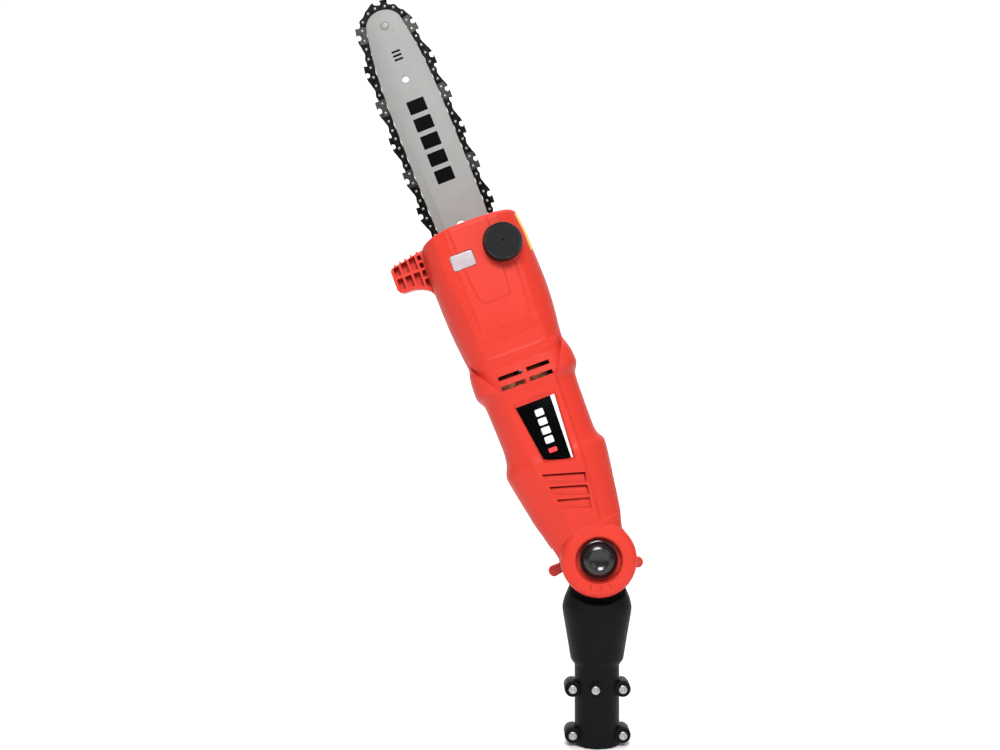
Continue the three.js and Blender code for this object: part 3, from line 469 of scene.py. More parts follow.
def film(name, colour, roughness):
    """Printed film: nearly flat, with the faint orange peel of ink."""
    paint = Paint(name)
    return paint.dress(
        paint.blend(paint.noise(18, 3), shade(colour, 0.92), shade(colour, 1.05)),
        paint.span(paint.noise(10, 3), 0.3, 0.7, roughness - 0.04, roughness + 0.08),
        paint.bump(paint.noise(1.6, 2), 0.004),
        {"Specular IOR Level": 0.02},
    )


def windings(name, colour, roughness):
    """Enamelled wire laid side by side."""
    paint = Paint(name)
    inputs = {"Vector": paint.place, "Scale": 420.0, "Distortion": 1.2, "Detail": 2.0}
    wires = paint.node("ShaderNodeTexWave", inputs, bands_direction="Z").outputs["Fac"]
    return paint.dress(
        paint.blend(wires, shade(colour, 0.35), shade(colour, 1.25)),
        paint.span(wires, 0.0, 1.0, roughness + 0.2, roughness),
        paint.bump(wires, 0.35),
        {"Metallic": 0.4},
    )


def sheets(name, colour, roughness):
    """A stack of thin punched sheets."""
    paint = Paint(name)
    inputs = {"Vector": paint.place, "Scale": 300.0, "Distortion": 0.3, "Detail": 1.0}
    layers = paint.node("ShaderNodeTexWave", inputs, bands_direction="Z").outputs["Fac"]
    return paint.dress(
        paint.blend(layers, shade(colour, 0.6), shade(colour, 1.1)),
        paint.span(paint.noise(6, 3), 0.3, 0.7, roughness, roughness + 0.2),
        paint.bump(layers, 0.12),
        {"Metallic": 0.4},
    )


def milky(name, colour):
    """Translucent tank plastic behind the level window."""
    paint = Paint(name)
    return paint.dress(
        paint.blend(paint.noise(12, 3), shade(colour, 0.94), shade(colour, 1.03)),
        paint.span(paint.noise(5, 3), 0.3, 0.7, 0.22, 0.34),
        paint.bump(paint.noise(3, 2), 0.006, paint.soft_edges(0.5)),
        {"Subsurface Weight": 0.25, "Subsurface Radius": (0.004, 0.004, 0.0035)},
    )


RED = (0.51, 0.031, 0.0185)
BLACK = (0.0034, 0.0038, 0.0043)
LEAN = HEAD_TILT + BAR_TILT
ALONG_BAR = (1, 1, 0.035)
MATERIALS = {
    "housing_red": moulded("red_moulding", RED, 0.44, gloss=0.16),
    "knob_red": moulded("red_knob", shade(RED, 0.92), 0.34, grain=0.006),
    "adapter_black": moulded("black_moulding", BLACK, 0.46, grain=0.014, edge_wear_and_highlight=(2.6, 0.6), gloss=0.08),
    # the oil cap's edges are painted eleven times lighter: a painted highlight on its rim, with a little
    # rubbed wear
    "cap_black": moulded("cap_black", shade(BLACK, 1.25), 0.5, edge_wear_and_highlight=(11, 1.0), soft=0.45, gloss=0.12),
    "button_black": moulded("black_button", (0.006, 0.006, 0.007), 0.2, grain=0.002, edge_wear_and_highlight=(2.0, 0.3),
                            gloss=0.5),
    "cover_black": moulded("black_cover", (0.014, 0.014, 0.015), 0.55, grain=0.05, grain_size=1.4,
                           edge_wear_and_highlight=(2.4, 0.6)),
    "bar_steel": metal("bar_steel", (0.195, 0.196, 0.19), 0.55, ALONG_BAR, LEAN, line=0.002, metallic=0.05),
    "chain_steel": metal("chain_steel", (0.0032, 0.0032, 0.003), 0.36, line=0.008,
                         stain=(0.009, 0.0085, 0.008)),
    "cutter_chrome": metal("cutter_chrome", (0.017, 0.017, 0.016), 0.36, line=0.008,
                           stain=(0.005, 0.0048, 0.0045)),
    "screw_steel": metal("screw_steel", (0.36, 0.365, 0.37), 0.3, line=0.003),
    "gear_steel": metal("gear_steel", (0.16, 0.155, 0.15), 0.38, line=0.006, stain=(0.08, 0.06, 0.04)),
    "bearing_steel": metal("bearing_steel", (0.6, 0.6, 0.6), 0.2, line=0.002),
    "cast_aluminium": metal("cast_aluminium", (0.42, 0.43, 0.44), 0.5, line=0.06),
    "lamination": sheets("lamination", (0.75, 0.75, 0.78), 0.4),
    "copper": windings("copper", (0.8, 0.3, 0.14), 0.3),
    "rubber": moulded("rubber", (0.012, 0.012, 0.012), 0.75, grain=0.03, edge_wear_and_highlight=(2.0, 0.2)),
    "tank_plastic": milky("tank_plastic", (0.78, 0.76, 0.7)),
    "window_milky": milky("window_milky", (0.4, 0.345, 0.368)),
    "label_black": film("label_black", (0.0007, 0.0007, 0.0009), 0.4),
    "label_yellow": film("label_yellow", (0.66, 0.46, 0.1), 0.32),
    "phenolic": moulded("phenolic", (0.05, 0.055, 0.065), 0.5, grain=0.02, edge_wear_and_highlight=(1.8, 0.3)),
    "label_white": film("label_white", (0.68, 0.68, 0.68), 0.3),
    "label_red": film("label_red", (0.75, 0.06, 0.06), 0.3),
    # rivet heads much lighter than the links: partly their own bare steel, partly a painted highlight on the
    # heads
    "rivet_steel": metal("rivet_steel", (0.16, 0.16, 0.155), 0.4, line=0.002, soft=0.1),
    "nose_rivet": metal("nose_rivet", (0.17, 0.16, 0.148), 0.45, line=0.002, metallic=0.1),
}


def carry_over():
    """Gives every CAD node that still shows its own procedural material."""
    slots = {row["node"]: row["material_slot"] for row in frame["record"]["subparts"]}
    for name, node in frame["nodes"].items():
        node.data.materials.clear()
        node.data.materials.append(MATERIALS[slots[name]])


# ------------------------------------------------------------------ head housing
# The head along its length: distance from the hinge, left edge, right edge, half depth.
HEAD_STATIONS = [
    (-6, -36, 32.6, 33.4), (8, -37.6, 32.8, 33.9), (17, -39.5, 33.4, 34.1), (39, -45.3, 38.6, 34.5),
    (53, -49.3, 40.7, 36.2), (68, -52.3, 42.8, 38.8), (83, -55.3, 45, 40.8), (97, -58.1, 46.8, 42.6),
    (106, -59.5, 47.7, 43.8), (112, -57.6, 48, 43.9), (118, -54.9, 43.8, 42.7), (123, -54, 42.2, 42.2),
    (132, -53.1, 41.8, 42), (155, -53.9, 41.8, 42), (172, -54.6, 42, 42.4), (182, -55.5, 42.5, 43),
    (186, -58, 43.6, 44), (190, -60.4, 46.4, 45.3), (195, -60.9, 48.1, 45.8), (208, -60.5, 47, 46),
    (216, -59.3, 45, 45.2), (222, -57.5, 42.8, 44), (232, -59, 43.4, 44.4), (248, -60.9, 45.2, 45.2),
    (265, -62.4, 46.4, 45.8), (281, -63.2, 46.9, 46), (305, -63.8, 46, 46), (320, -63.7, 45.2, 46),
    (335, -63, 44.6, 46), (345, -62.4, 43.4, 46), (356, -61.4, 42, 46), (368, -60.5, 41, 46),
]
HEAD_BLUR = 1.3
HEAD_POWER = 4.2
FRONT_V = 362                    # front edge in the middle
LEFT_BOW, RIGHT_BOW = 6.5, 1.8   # how far its ends fall back
FRONT_RADIUS = 4.5

# Outlines on the near face: the raised shield, its sides carried on down, and what stands up on it.
SHIELD_LEFT = [(-47.7, 380), (-46.7, 311.5), (-43.8, 292), (-39, 243.7)]
SHIELD_RIGHT = [(26.8, 243.7), (28.8, 302), (30, 380)]
SHIELD = [*SHIELD_LEFT, (-16.7, 240), *SHIELD_RIGHT]
SHIELD_SIDES = [*SHIELD_LEFT, (-35, 150), (24, 150), *SHIELD_RIGHT]
PLATEAU = [(-35, 380), (-34, 292), (-32.2, 251.5), (19.1, 249.6), (22, 300), (23, 380)]
TANK_PAD = [(-30.5, 380), (-27.4, 316), (-23.5, 282.5), (-19.6, 278.6), (4.6, 278.6), (8.5, 282.5),
            (9.5, 310), (12, 380)]
# The flat spine of the lower body: along, left edge, right edge.
SPINE = [(20, -11, 12), (36, -13, 13.5), (105, -28, 18.5), (150, -32, 20), (192, -33, 20.5)]


def head_outline():
    dense = np.arange(-12, 374, 0.25)
    stations = np.array(HEAD_STATIONS, float)
    reach = int(HEAD_BLUR * 12)
    weights = np.exp(-0.5 * (np.arange(-reach, reach + 1) * 0.25 / HEAD_BLUR) ** 2)
    weights /= weights.sum()
    columns = []
    for column in stations[:, 1:].T:
        plain = np.interp(dense, stations[:, 0], column)
        columns.append(np.convolve(np.pad(plain, reach, mode="edge"), weights, mode="valid"))
    return dense, columns


HEAD_V, HEAD_COLUMNS = head_outline()


def rounded_square(power, start, stop, count):
    """Points spaced evenly along part of a rounded square that reaches 1 each way."""
    turn = np.radians(np.linspace(start, stop, 6000))
    x = np.sign(np.cos(turn)) * np.abs(np.cos(turn)) ** (2 / power)
    y = np.sign(np.sin(turn)) * np.abs(np.sin(turn)) ** (2 / power)
    length = np.concatenate([[0], np.cumsum(np.hypot(np.diff(x), np.diff(y)))])
    even = np.linspace(0, length[-1], count)
    return np.interp(even, length, x), np.interp(even, length, y)


def near_relief(u, v):
    """How far the near face lies inside the plain rounded section, in millimetres."""
    beyond_shield = polygon_distance(u, v, SHIELD)
    beyond_plateau = polygon_distance(u, v, PLATEAU)
    beyond_pad = polygon_distance(u, v, TANK_PAD)
    beyond_sides = polygon_distance(u, v, SHIELD_SIDES)
    upper = 0.44 * np.clip(beyond_sides, 0, 20) + 0.5 * smoothstep(-0.5, 0.8, beyond_shield)
    upper += 0.09 * np.clip(beyond_plateau, 0, 11) + 0.75 * smoothstep(-1.1, 1.1, beyond_plateau)
    upper += 1.1 * smoothstep(-1.0, 1.0, beyond_pad)
    upper *= smoothstep(213, 228, v)
    rows = np.array(SPINE, float)
    left = np.interp(v, rows[:, 0], rows[:, 1])
    right = np.interp(v, rows[:, 0], rows[:, 2])
    past_left = np.clip(left - u, 0, 60)
    past_right = np.clip(u - right, 0, 60)
    left_slope = 0.42 + 0.08 * smoothstep(75, 40, v)
    lower = 9 * np.tanh(left_slope * (np.sqrt(past_left**2 + 1.5) - 1.2) / 9)
    lower += 0.3 * (np.sqrt(past_right**2 + 1) - 1)
    lower += 1.6 * smoothstep(0, 3.2, past_right) * smoothstep(36, 38, v)
    lower *= smoothstep(196, 184, v) * smoothstep(-4, 16, v)
    return upper + lower


def far_relief(u, v):
    """The far face: a plain panel with sloping flanks."""
    past = np.clip(np.abs(u + 8) - 27, 0, 40)
    return 0.3 * (np.sqrt(past**2 + 4) - 2) * smoothstep(6, 30, v)


def head_ring(v, x, y, side, inset=0.0, draw_in=0.0, carved=True):
    """One section of the head. side is -1 near and 1 far; y follows it."""
    left, right, depth = (np.interp(v, HEAD_V, column) for column in HEAD_COLUMNS)
    half = (right - left) / 2 - inset - draw_in
    u = (left + right) / 2 + half * x
    bow = np.where(x < 0, LEFT_BOW, RIGHT_BOW)
    along = v - bow * np.abs(x) ** 3 * smoothstep(325, FRONT_V, v)
    plain = (depth - inset - draw_in) * np.abs(y)
    relief = near_relief(u, along) if side < 0 else far_relief(u, along)
    reach = plain - relief * smoothstep(3, 26, plain) * carved
    return np.stack([u, side * reach, along], axis=1)


def head_stations(start, stop, step):
    """Sections from start to stop, with the front edge rounded where they reach it."""
    if stop < FRONT_V:
        return [(v, 0.0) for v in np.linspace(start, stop, round((stop - start) / step) + 1)]
    edge = FRONT_V - FRONT_RADIUS
    plain = [(v, 0.0) for v in np.linspace(start, edge, round((edge - start) / step) + 1)]
    turns = np.radians(np.linspace(15, 90, 6))
    return plain + [(edge + FRONT_RADIUS * math.sin(t), FRONT_RADIUS * (1 - math.cos(t))) for t in turns]


def head_half(side, step, columns, start=-4, inner=PARTING):
    """One side of the head from inner outwards, as a solid before anything is cut from it."""
    x, y = rounded_square(HEAD_POWER, 180, 360, columns)
    rings = []
    for v, draw_in in head_stations(start, FRONT_V, step):
        ring = head_ring(v, x, y, side, draw_in=draw_in)
        ring[:, 1] = side * np.maximum(side * ring[:, 1], inner)
        rings.append(ring)
    return skin("head", rings, HEAD)


def head_room(start, stop, inset):
    """The space inside the head's walls."""
    x, y = rounded_square(HEAD_POWER, 0, 360 - 360 / 64, 64)
    rings = []
    for v, _ in head_stations(start, stop, 6):
        collar = COLLAR_THICKENING * smoothstep(178, 190, v) * smoothstep(234, 224, v)
        near = head_ring(v, x, y, -1, inset + collar)
        far = head_ring(v, x, y, 1, inset)
        rings.append(np.where((y < 0)[:, None], near, far))
    return skin("room", rings, HEAD)


def room_between(start, y0, y1):
    """The space inside the walls from start up to the front, between two depths."""
    return keep(head_room(start, ROOM_END, WALL), box(-SIDE_OUT, SIDE_OUT, y0, y1, 200, 400, HEAD))


def seam_strips(y0, y1, start, stop, low, high):
    """Two strips along the side walls, between two depths and two distances in from the edge."""
    strips = []
    for column, inwards in zip(HEAD_COLUMNS, (1, -1)):
        rings = []
        for v in np.arange(start, stop, 4.0):
            edge = float(np.interp(v, HEAD_V, column))
            a, b = edge + inwards * low, edge + inwards * high
            rings.append(np.array([(a, y0, v), (b, y0, v), (b, y1, v), (a, y1, v)]))
        strips.append(skin("strip", rings, HEAD))
    return strips


def hub_cheek(side):
    face = side * HUB_FACE
    back = side * (-1)
    profile = [
        (0, face), (31.2, face), (33.4, face + 0.35 * back), (35.4, face + 1.4 * back),
        (37.1, face + 3.1 * back), (38.1, face + 5.2 * back), (HUB_RADIUS, face + 7.4 * back),
        (HUB_RADIUS, side * HUB_INNER), (0, side * HUB_INNER),
    ]
    return lathe("hub", profile, 0, 0, HEAD, sides=120)


def wedge(corners, depths):
    """A cutter from well outside the near face in to a depth given for each corner."""
    return skin("wedge", [at_depth(corners, NEAR_OUT), at_depth(corners, depths)], HEAD)


VENT_RECESS = [(-60, 234), (-56.5, 224), (-49.7, 212), (-34.4, 190.6), (24.6, 190.6), (35.6, 210.8),
               (43, 224), (46, 234)]
RECESS_DEPTH = [(184, 3.0), (190, 4.2), (200, 5.3), (208, 5.6), (214, 5.3), (220, 3.6), (226, 2.6),
                (236, 1.5)]
COLLAR_THICKENING = 3.3          # extra wall behind the recess
LOUVRE_BACKING = (-28, 20, -32.2, 48, 104)
SLIT_FLOOR = -33.2
VENT_ROWS = (203.6, 193.4)
VENT_SPANS = ((-32.7, -8), (-3.1, 20.6))
LABEL_PLATE = [(-26.4, 171.1), (-17.7, 113.9), (10.9, 106.2), (14.8, 171.6)]
LOUVRES = [
    ((-24.5, 100.6), (16.8, 88.5), (14.9, 78.3), (-22, 90.4)),
    ((-22, 86.6), (14.4, 75.9), (13.4, 65.3), (-19.5, 76.9)),
    ((-19.1, 72), (12.4, 63.3), (11, 52.6), (-16.7, 61.4)),
]


def near_face_y(u, v):
    """Where the near face lies at (u, v)."""
    left, right, depth = (np.interp(v, HEAD_V, column) for column in HEAD_COLUMNS)
    x = (u - (left + right) / 2) / ((right - left) / 2)
    relief = float(near_relief(np.array([float(u)]), np.array([float(v)]))[0])
    return -(depth * (1 - abs(x) ** HEAD_POWER) ** (1 / HEAD_POWER) - relief)


def vent_recess():
    """A crisp-edged recess that follows the near face and carries on the slope of the upper body."""
    x, y = rounded_square(HEAD_POWER, 180, 360, 150)
    places, depths = zip(*RECESS_DEPTH)
    rings = []
    for v in np.arange(184, 236.5, 1.0):
        ring = head_ring(v, x, y, -1, float(np.interp(v, places, depths)), carved=False)
        ring[:, 1] = np.minimum(ring[:, 1], -8)
        rings.append(ring)
    return cut(slab("recess", VENT_RECESS, NEAR_OUT, -20, HEAD), skin("floor", rings, HEAD))


def near_cutters():
    recess = vent_recess()
    slots = [
        slab("slot", rectangle((u0 + u1) / 2, v, u1 - u0, 4.1, 0.7), NEAR_OUT, -30, HEAD)
        for v in VENT_ROWS for u0, u1 in VENT_SPANS
    ]
    mouth = rounded([(-35, 186), (-21.5, 108.5), (13, 99.5), (23, 186)], 8)
    floor = rounded([(-27, 173), (-18.2, 112.9), (11.6, 104.9), (15.4, 173)], 1.5)
    pocket = skin("pocket", [at_depth(floor, LABEL_FLOOR), at_depth(mouth, LABEL_MOUTH)], HEAD)
    louvres = []
    slits = []
    for corners in LOUVRES:
        faces = [near_face_y(u, v) for u, v in corners]
        depths = [faces[0] + 4.2, faces[1] + 4.2, faces[2] + 2.4, faces[3] + 2.4]
        louvres.append(wedge(corners, depths))
        (a0, b0), (a1, b1), (a2, b2), _ = corners
        for strip in ([(a0, b0), (a1, b1), (a1, b1 - 2.3), (a0 + 0.5, b0 - 2.0)],
                      [(a1 - 1.5, b1), (a1, b1), (a2, b2 + 0.4), (a2 - 0.9, b2 + 0.4)]):
            slits.append(slab("slit", strip, NEAR_OUT, SLIT_FLOOR, HEAD))
    window = slab("window", rectangle(*WINDOW, 3), NEAR_OUT, -35, HEAD)
    seat_profile = [(0, NEAR_OUT), (20.4, NEAR_OUT), (20.4, -45.6), (19.6, -44.6), (0, -44.6)]
    seat = lathe("seat", seat_profile, *CAP_PLACE, HEAD, 72)
    filler = pin(*CAP_PLACE, 14, -50, -35, HEAD)
    return [recess, *slots, pocket, *louvres, *slits, window, seat, filler]


def shared_cutters():
    """What both halves lose: room for the tongue and for the motor, with a backing left for the louvres."""
    u0, u1, y, v0, v1 = LOUVRE_BACKING
    return [
        pin(0, 0, TONGUE_CLEARANCE, -HUB_INNER, HUB_INNER, HEAD, 96),
        box(-SIDE_OUT, SIDE_OUT, -HUB_INNER, HUB_INNER, -60, 0, HEAD),
        cut(head_room(52, 237, WALL), box(u0, u1, -60, y, v0, v1, HEAD)),
    ]


def add_near_housing():
    """The near half: hub cheek with the button's well, vents, louvres, window and seats of cap and label."""
    half = head_half(-1, 1.1, 190)
    cut(half, lathe("gap", [(0, -60), (38.7, -60), (38.7, -33.9), (0, -33.9)], 0, 0, HEAD, 120))
    boss = [(0, -44.7), (19.6, -44.7), (20.3, -44), (20.3, -30), (0, -30)]
    join(half, hub_cheek(-1), lathe("boss", boss, *CAP_PLACE, HEAD, 96))
    well = [(0, -60), (24.9, -60), (24.9, -34.3), (24.1, -33.7), (23.3, -32.8), (WELL_RADIUS, -31.4),
            (WELL_RADIUS, WELL_FLOOR), (0, WELL_FLOOR)]
    ticks = []
    for lean in (-17, 3.5, 24):
        turn = math.radians(-90 + lean) - HEAD_TILT
        out, side = (math.cos(turn), math.sin(turn)), (-math.sin(turn), math.cos(turn))
        corners = [(r * out[0] + w * side[0], r * out[1] + w * side[1])
                   for r, w in ((25.5, -0.48), (30.3, -0.48), (30.3, 0.48), (25.5, 0.48))]
        ticks.append(slab("tick", corners, -36, -32.7, HEAD))
    cut(half, lathe("well", well, 0, 0, HEAD, 96), pin(0, 0, 16.8, -17.6, 5, HEAD),
        pin(0, 0, BOLT_HOLE, -30, 5, HEAD), *ticks, *shared_cutters(),
        head_room(ROOM_START, ROOM_END, WALL), *near_cutters())
    join(half, *seam_strips(-0.9, 0.75, 56, 342, 1.0, 2.0))
    piece(half, "near_housing_shell", "saw_head", "housing_red", ["near_housing"], angle=18)


FAR_SCREWS = [(-47, 226), (31, 226), (-45, 122), (31, 122), (-32, 56), (22, 56)]


def add_far_housing():
    """The far half: hub cheek, gear room, and the open compartment in which the chain runs."""
    half = head_half(1, 2.0, 120)
    join(half, hub_cheek(1))
    gear_room = room_between(ROOM_START, -60, FLOOR_Y - WALL)
    chain_room = room_between(STEP_V + WALL, FLOOR_Y, FAR_OUT)
    stud_u, stud_v = bar_point(0, STUD_S)
    pin_u, pin_v = bar_point(TENSION_X, TENSION_S)
    exit_u = bar_point(TENSION_X, 78)[0]
    screw_exit = skin("exit", [
        np.array([(exit_u + 4 * math.cos(t), 9.9 + 4 * math.sin(t), v) for t in np.linspace(0, 6.05, 24)])
        for v in (340, 372)], HEAD)
    wells = [pin(u, v, 4.6, 30, FAR_OUT, HEAD) for u, v in FAR_SCREWS]
    cut(half, pin(0, 0, BOLT_HOLE, 0, FAR_OUT, HEAD), *shared_cutters(), gear_room, chain_room,
        box(-SIDE_OUT, SIDE_OUT, RIM_Y, FAR_OUT, STEP_V, 400, HEAD),
        box(*CHAIN_MOUTH, FLOOR_Y, FAR_OUT, 350, 400, HEAD),
        pin(AXIS_U, SPINDLE_V, 12, 5, 25, HEAD), pin(stud_u, stud_v, 4.5, 5, 25, HEAD),
        slab("slot", rectangle(pin_u + 0.1, pin_v - 2, 5.6, 10.6, 2.7), 5, 25, HEAD), screw_exit,
        *far_grooves(), *seam_strips(-1, 0.95, 55, 343, 0.8, 2.2))
    join(half, *[tube(4.6, 6.8, 6, 33, u, v, HEAD, 32) for u, v in FAR_SCREWS[:2]])
    cut(half, *wells, *[pin(u, v, 2.3, 0, 40, HEAD, 16) for u, v in FAR_SCREWS])
    piece(half, "far_housing_shell", "saw_head", "housing_red", ["far_housing"])


def far_grooves():
    """Blind grip grooves and a recess on the far face."""
    grooves = []
    for k in range(3):
        v = 96 - 12 * k
        corners = [(-24 + 2 * k, v), (-24 + 2 * k, v - 3.4), (12 - k, v - 3.4), (12 - k, v)]
        grooves.append(slab("groove", rounded(corners, 1.4), 40.4 - 1.7 * k, 70, HEAD))
    return grooves


def add_housing_screws():
    """Recessed pan-head screws with cross slots, on the far side."""
    profile = [(0, 32.9), (2.4, 32.8), (3.6, 32.2), (4.1, 31.2), (4.1, 30.3), (1.8, 30.2), (1.8, 3), (0, 3)]
    screws = []
    for u, v in FAR_SCREWS:
        cross = [box(u - a, u + a, 31.7, 34.3, v - b, v + b, HEAD) for a, b in ((2.3, 0.45), (0.45, 2.3))]
        screws.append(cut(lathe("screw", profile, u, v, HEAD, 28), *cross))
    spare = merged("screws", screws[2:])
    for k, screw in enumerate(screws[:2]):
        piece(screw, f"housing_screw_{k + 1}_head", "saw_head", "screw_steel", [f"housing_screw_{k + 1}"])
    piece(spare, "housing_screws_3_to_6", "saw_head", "screw_steel")


# ------------------------------------------------------------------ trim on the near side
def add_window():
    u, v, width, height = WINDOW
    shape = rectangle(u, v, width - 0.7, height - 0.7, 2.7)
    pane = slab("window", shape, -45.3, -42.8, HEAD, edge=0.9, steps=4)
    piece(pane, "oil_level_pane", "saw_head", "window_milky", ["oil_level_window"])


def add_oil_cap():
    """A ridged cap with a raised rim, a pointer line and a centre dimple, and its plug inside."""
    profile = [
        (0, -59.6), (16.9, -59.6), (17.2, CAP_TOP), (17.9, CAP_TOP), (18.4, -59.5), (18.5, -58), (18.9, -54),
        (19.5, -48.6), (19.6, -47.4), (CAP_RADIUS, -46.5), (15.6, -46.5), (15.6, -56.5), (0, -56.5),
    ]
    cap = lathe("cap", profile, *CAP_PLACE, HEAD, sides=288, ridges=(72, 0.28, CAP_TOP + 1.5, CAP_TOP + 12))
    u, v = CAP_PLACE
    line = [(u - 0.9, v - 5.2), (u - 0.2, v - 5.4), (u + 0.9, v - 2.2), (u + 0.2, v - 2)]
    cut(cap, slab("line", line, CAP_TOP - 2, CAP_TOP + 1.6, HEAD),
        pin(u, v + 0.6, 1.0, CAP_TOP - 2, CAP_TOP + 2.6, HEAD, 20))
    cap = merged("cap", [cap, tube(10, 12.2, -56.6, -46.8, u, v, HEAD, 48)])
    piece(cap, "oil_filler_cap", "oil_cap", "adapter_black", ["oil_cap"], look="cap_black")


def add_button():
    """A domed button with a dished middle and three prongs that reach the lock gear."""
    face = -33.4
    profile = [
        (0, face + 1.9), (3.5, face + 1.75), (6.6, face + 1.3), (8.7, face + 0.6), (9.5, face + 0.12),
        (10.1, face - 0.02), (10.8, face + 0.05), (12.4, face + 0.6), (14.4, face + 1.65),
        (16.1, face + 2.9), (16.9, face + 3.9), (17.1, face + 5.4), (17.9, face + 6.2),
        (19.1, face + 6.5), (19.1, -25), (16.6, -25), (16.6, face + 6.5), (0, face + 6.5),
    ]
    button = lathe("button", profile, 0, 0, HEAD, sides=96)
    prongs = []
    for angle in (90, 210, 330):
        turn = math.radians(angle) - HEAD_TILT
        prongs.append(pin(11.5 * math.cos(turn), 11.5 * math.sin(turn), 1.8, face + 6, -17.6, HEAD, 16))
    join(button, *prongs)
    piece(button, "tilt_lock_button", "lock_button", "button_black", ["lock_button"], angle=40)


def blocks(place, y0, y1, centre, width, length, count, gap):
    """A plain row of rounded blocks along the part."""
    a, b = centre
    pitch = length / count
    middles = [b - length / 2 + (k + 0.5) * pitch for k in range(count)]
    return [slab("block", rectangle(a, m, width, pitch - gap, 1.2), y0, y1, place) for m in middles]


def add_name_plate():
    plate = slab("plate", rounded(LABEL_PLATE, 0.6, 3), -41.25, -40.72, HEAD, edge=0.12, steps=2)
    piece(plate, "name_plate", "saw_head", "label_black")
    strip = [(10, 171.5), (8.7, 106.9), (10.6, 106.4), (14.4, 171.5)]
    parts = [slab("strip", strip, *PRINT_Y, HEAD), *blocks(HEAD, *PRINT_Y, (-5.6, 145), 8.6, 38, 4, 2.6)]
    piece(merged("print", parts), "name_plate_print", "saw_head", "label_black", look="label_white")
    accent = slab("accent", rectangle(-5.6, 120, 8.6, 4.6, 1.2), *PRINT_Y, HEAD)
    piece(accent, "name_plate_accent", "saw_head", "label_black", look="label_red")


def add_side_label():
    """A yellow film on the right-hand wall."""
    x, y = rounded_square(HEAD_POWER, 180, 360, 190)
    on_wall = (x > 0.9) & (np.abs(y) < 0.7) & (np.abs(y) > 0.16)
    rows = []
    for lift in (0.03, 0.32):
        rows.append([head_ring(v, x[on_wall], y[on_wall], -1, -lift) for v in np.linspace(315, 356, 30)])
    outer, inner = np.array(rows[1]), np.array(rows[0])
    outer[..., 1] = inner[..., 1]
    rings = [np.vstack([a, b[::-1]]) for a, b in zip(outer, inner)]
    piece(skin("label", rings, HEAD), "side_label", "saw_head", "label_yellow")


# ------------------------------------------------------------------ branch stop
STOP_Y = (-4, 24)


def add_branch_stop():
    """The spiked claw on the left edge: a block with teeth on top and rows of blind pockets."""
    wall = [(-60, 306), (-64.1, 306), (-65.3, 310), (-68.3, 313.5), (-72.3, 316), (-77.3, 318),
            (-83.3, 319.5), (-93.3, 319.5), (-98.3, 322.5), (-98.3, 344), (-96.5, 346.5), (-62.3, 353.5),
            (-60, 353.5)]
    body = slab("stop", rounded(wall, 2.4, 3), *STOP_Y, HEAD, edge=0.7, steps=2)
    teeth = []
    for u in (-92.3, -86.3, -80.3, -73.8, -67.3):
        v = 353.5 + (u + 62.3) * 7 / 34.2
        shape = [(u - 1.7, v - 1.2), (u + 1.9, v - 0.6), (u + 0.5, v + 2.2), (u - 0.3, v + 2.2)]
        teeth.append(slab("tooth", shape, *STOP_Y, HEAD, edge=0.2))
    join(body, *teeth)
    upper = [(-95, -89), (-86.6, -79.8), (-77.4, -70.7)]
    pockets = [[(a, 337), (b, 337), (b, 364.8 + b * 0.2), (a, 364.8 + a * 0.2)] for a, b in upper]
    pockets += [[(a, 322.6 - c), (b, 322.6 - d), (b, 334.2), (a, 334.2)]
                for (a, b), (c, d) in zip(upper, ((0, 0), (0, 0.8), (1.2, 3.6)))]
    inner = ((344.8, 349.9, 0), (336.6, 342.2, 0), (327.4, 334.2, 0), (317.6, 324.8, 2))
    pockets += [[(-68.3, low), (-64.2, low - drop), (-64.2, high), (-68.3, high)]
                for low, high, drop in inner]
    cut(body, *[slab("pocket", rounded(corners, 0.8, 3), -30, 5, HEAD) for corners in pockets])
    piece(body, "branch_stop_hook", "saw_head", "housing_red", ["branch_stop"])


# ------------------------------------------------------------------ guide bar
BAR_EDGE = [(17, 26), (21.5, 50), (26.5, 80), (28, 95), (28.2, 118), (28.2, 168), (27.8, 218), (26.6, 248),
            (24.6, 273), (22, 291)]
PLATE_Y = [(18.95, 20.2), (20.3, 21.7), (21.8, 23.05)]


def bar_outline(inset, nose_end):
    right = [tuple(p) for p in spline(BAR_EDGE if nose_end else BAR_EDGE[:9], 5)]
    right = [(max(x - inset, 1), s) for x, s in right]
    nose = []
    if nose_end:
        turns = np.radians(np.linspace(12, 168, 45))
        nose = [(NOSE_WIDTH * math.cos(t), NOSE_S + NOSE_LENGTH * math.sin(t)) for t in turns]
    return right + nose + [(-x, s) for x, s in reversed(right)]


def bar_holes(y0, y1):
    return [
        slab("slot", rectangle(0, STUD_S + 1, 8.9, 34, 4.4), y0, y1, BAR),
        pin(TENSION_X, TENSION_S, 2.6, y0, y1, BAR, 24),
        pin(-2, 84.5, 5.5, y0, y1, BAR),
        pin(0, 246.5, 3.5, y0, y1, BAR),
        pin(0, NOSE_S, 4.3, y0, y1, BAR),
    ]


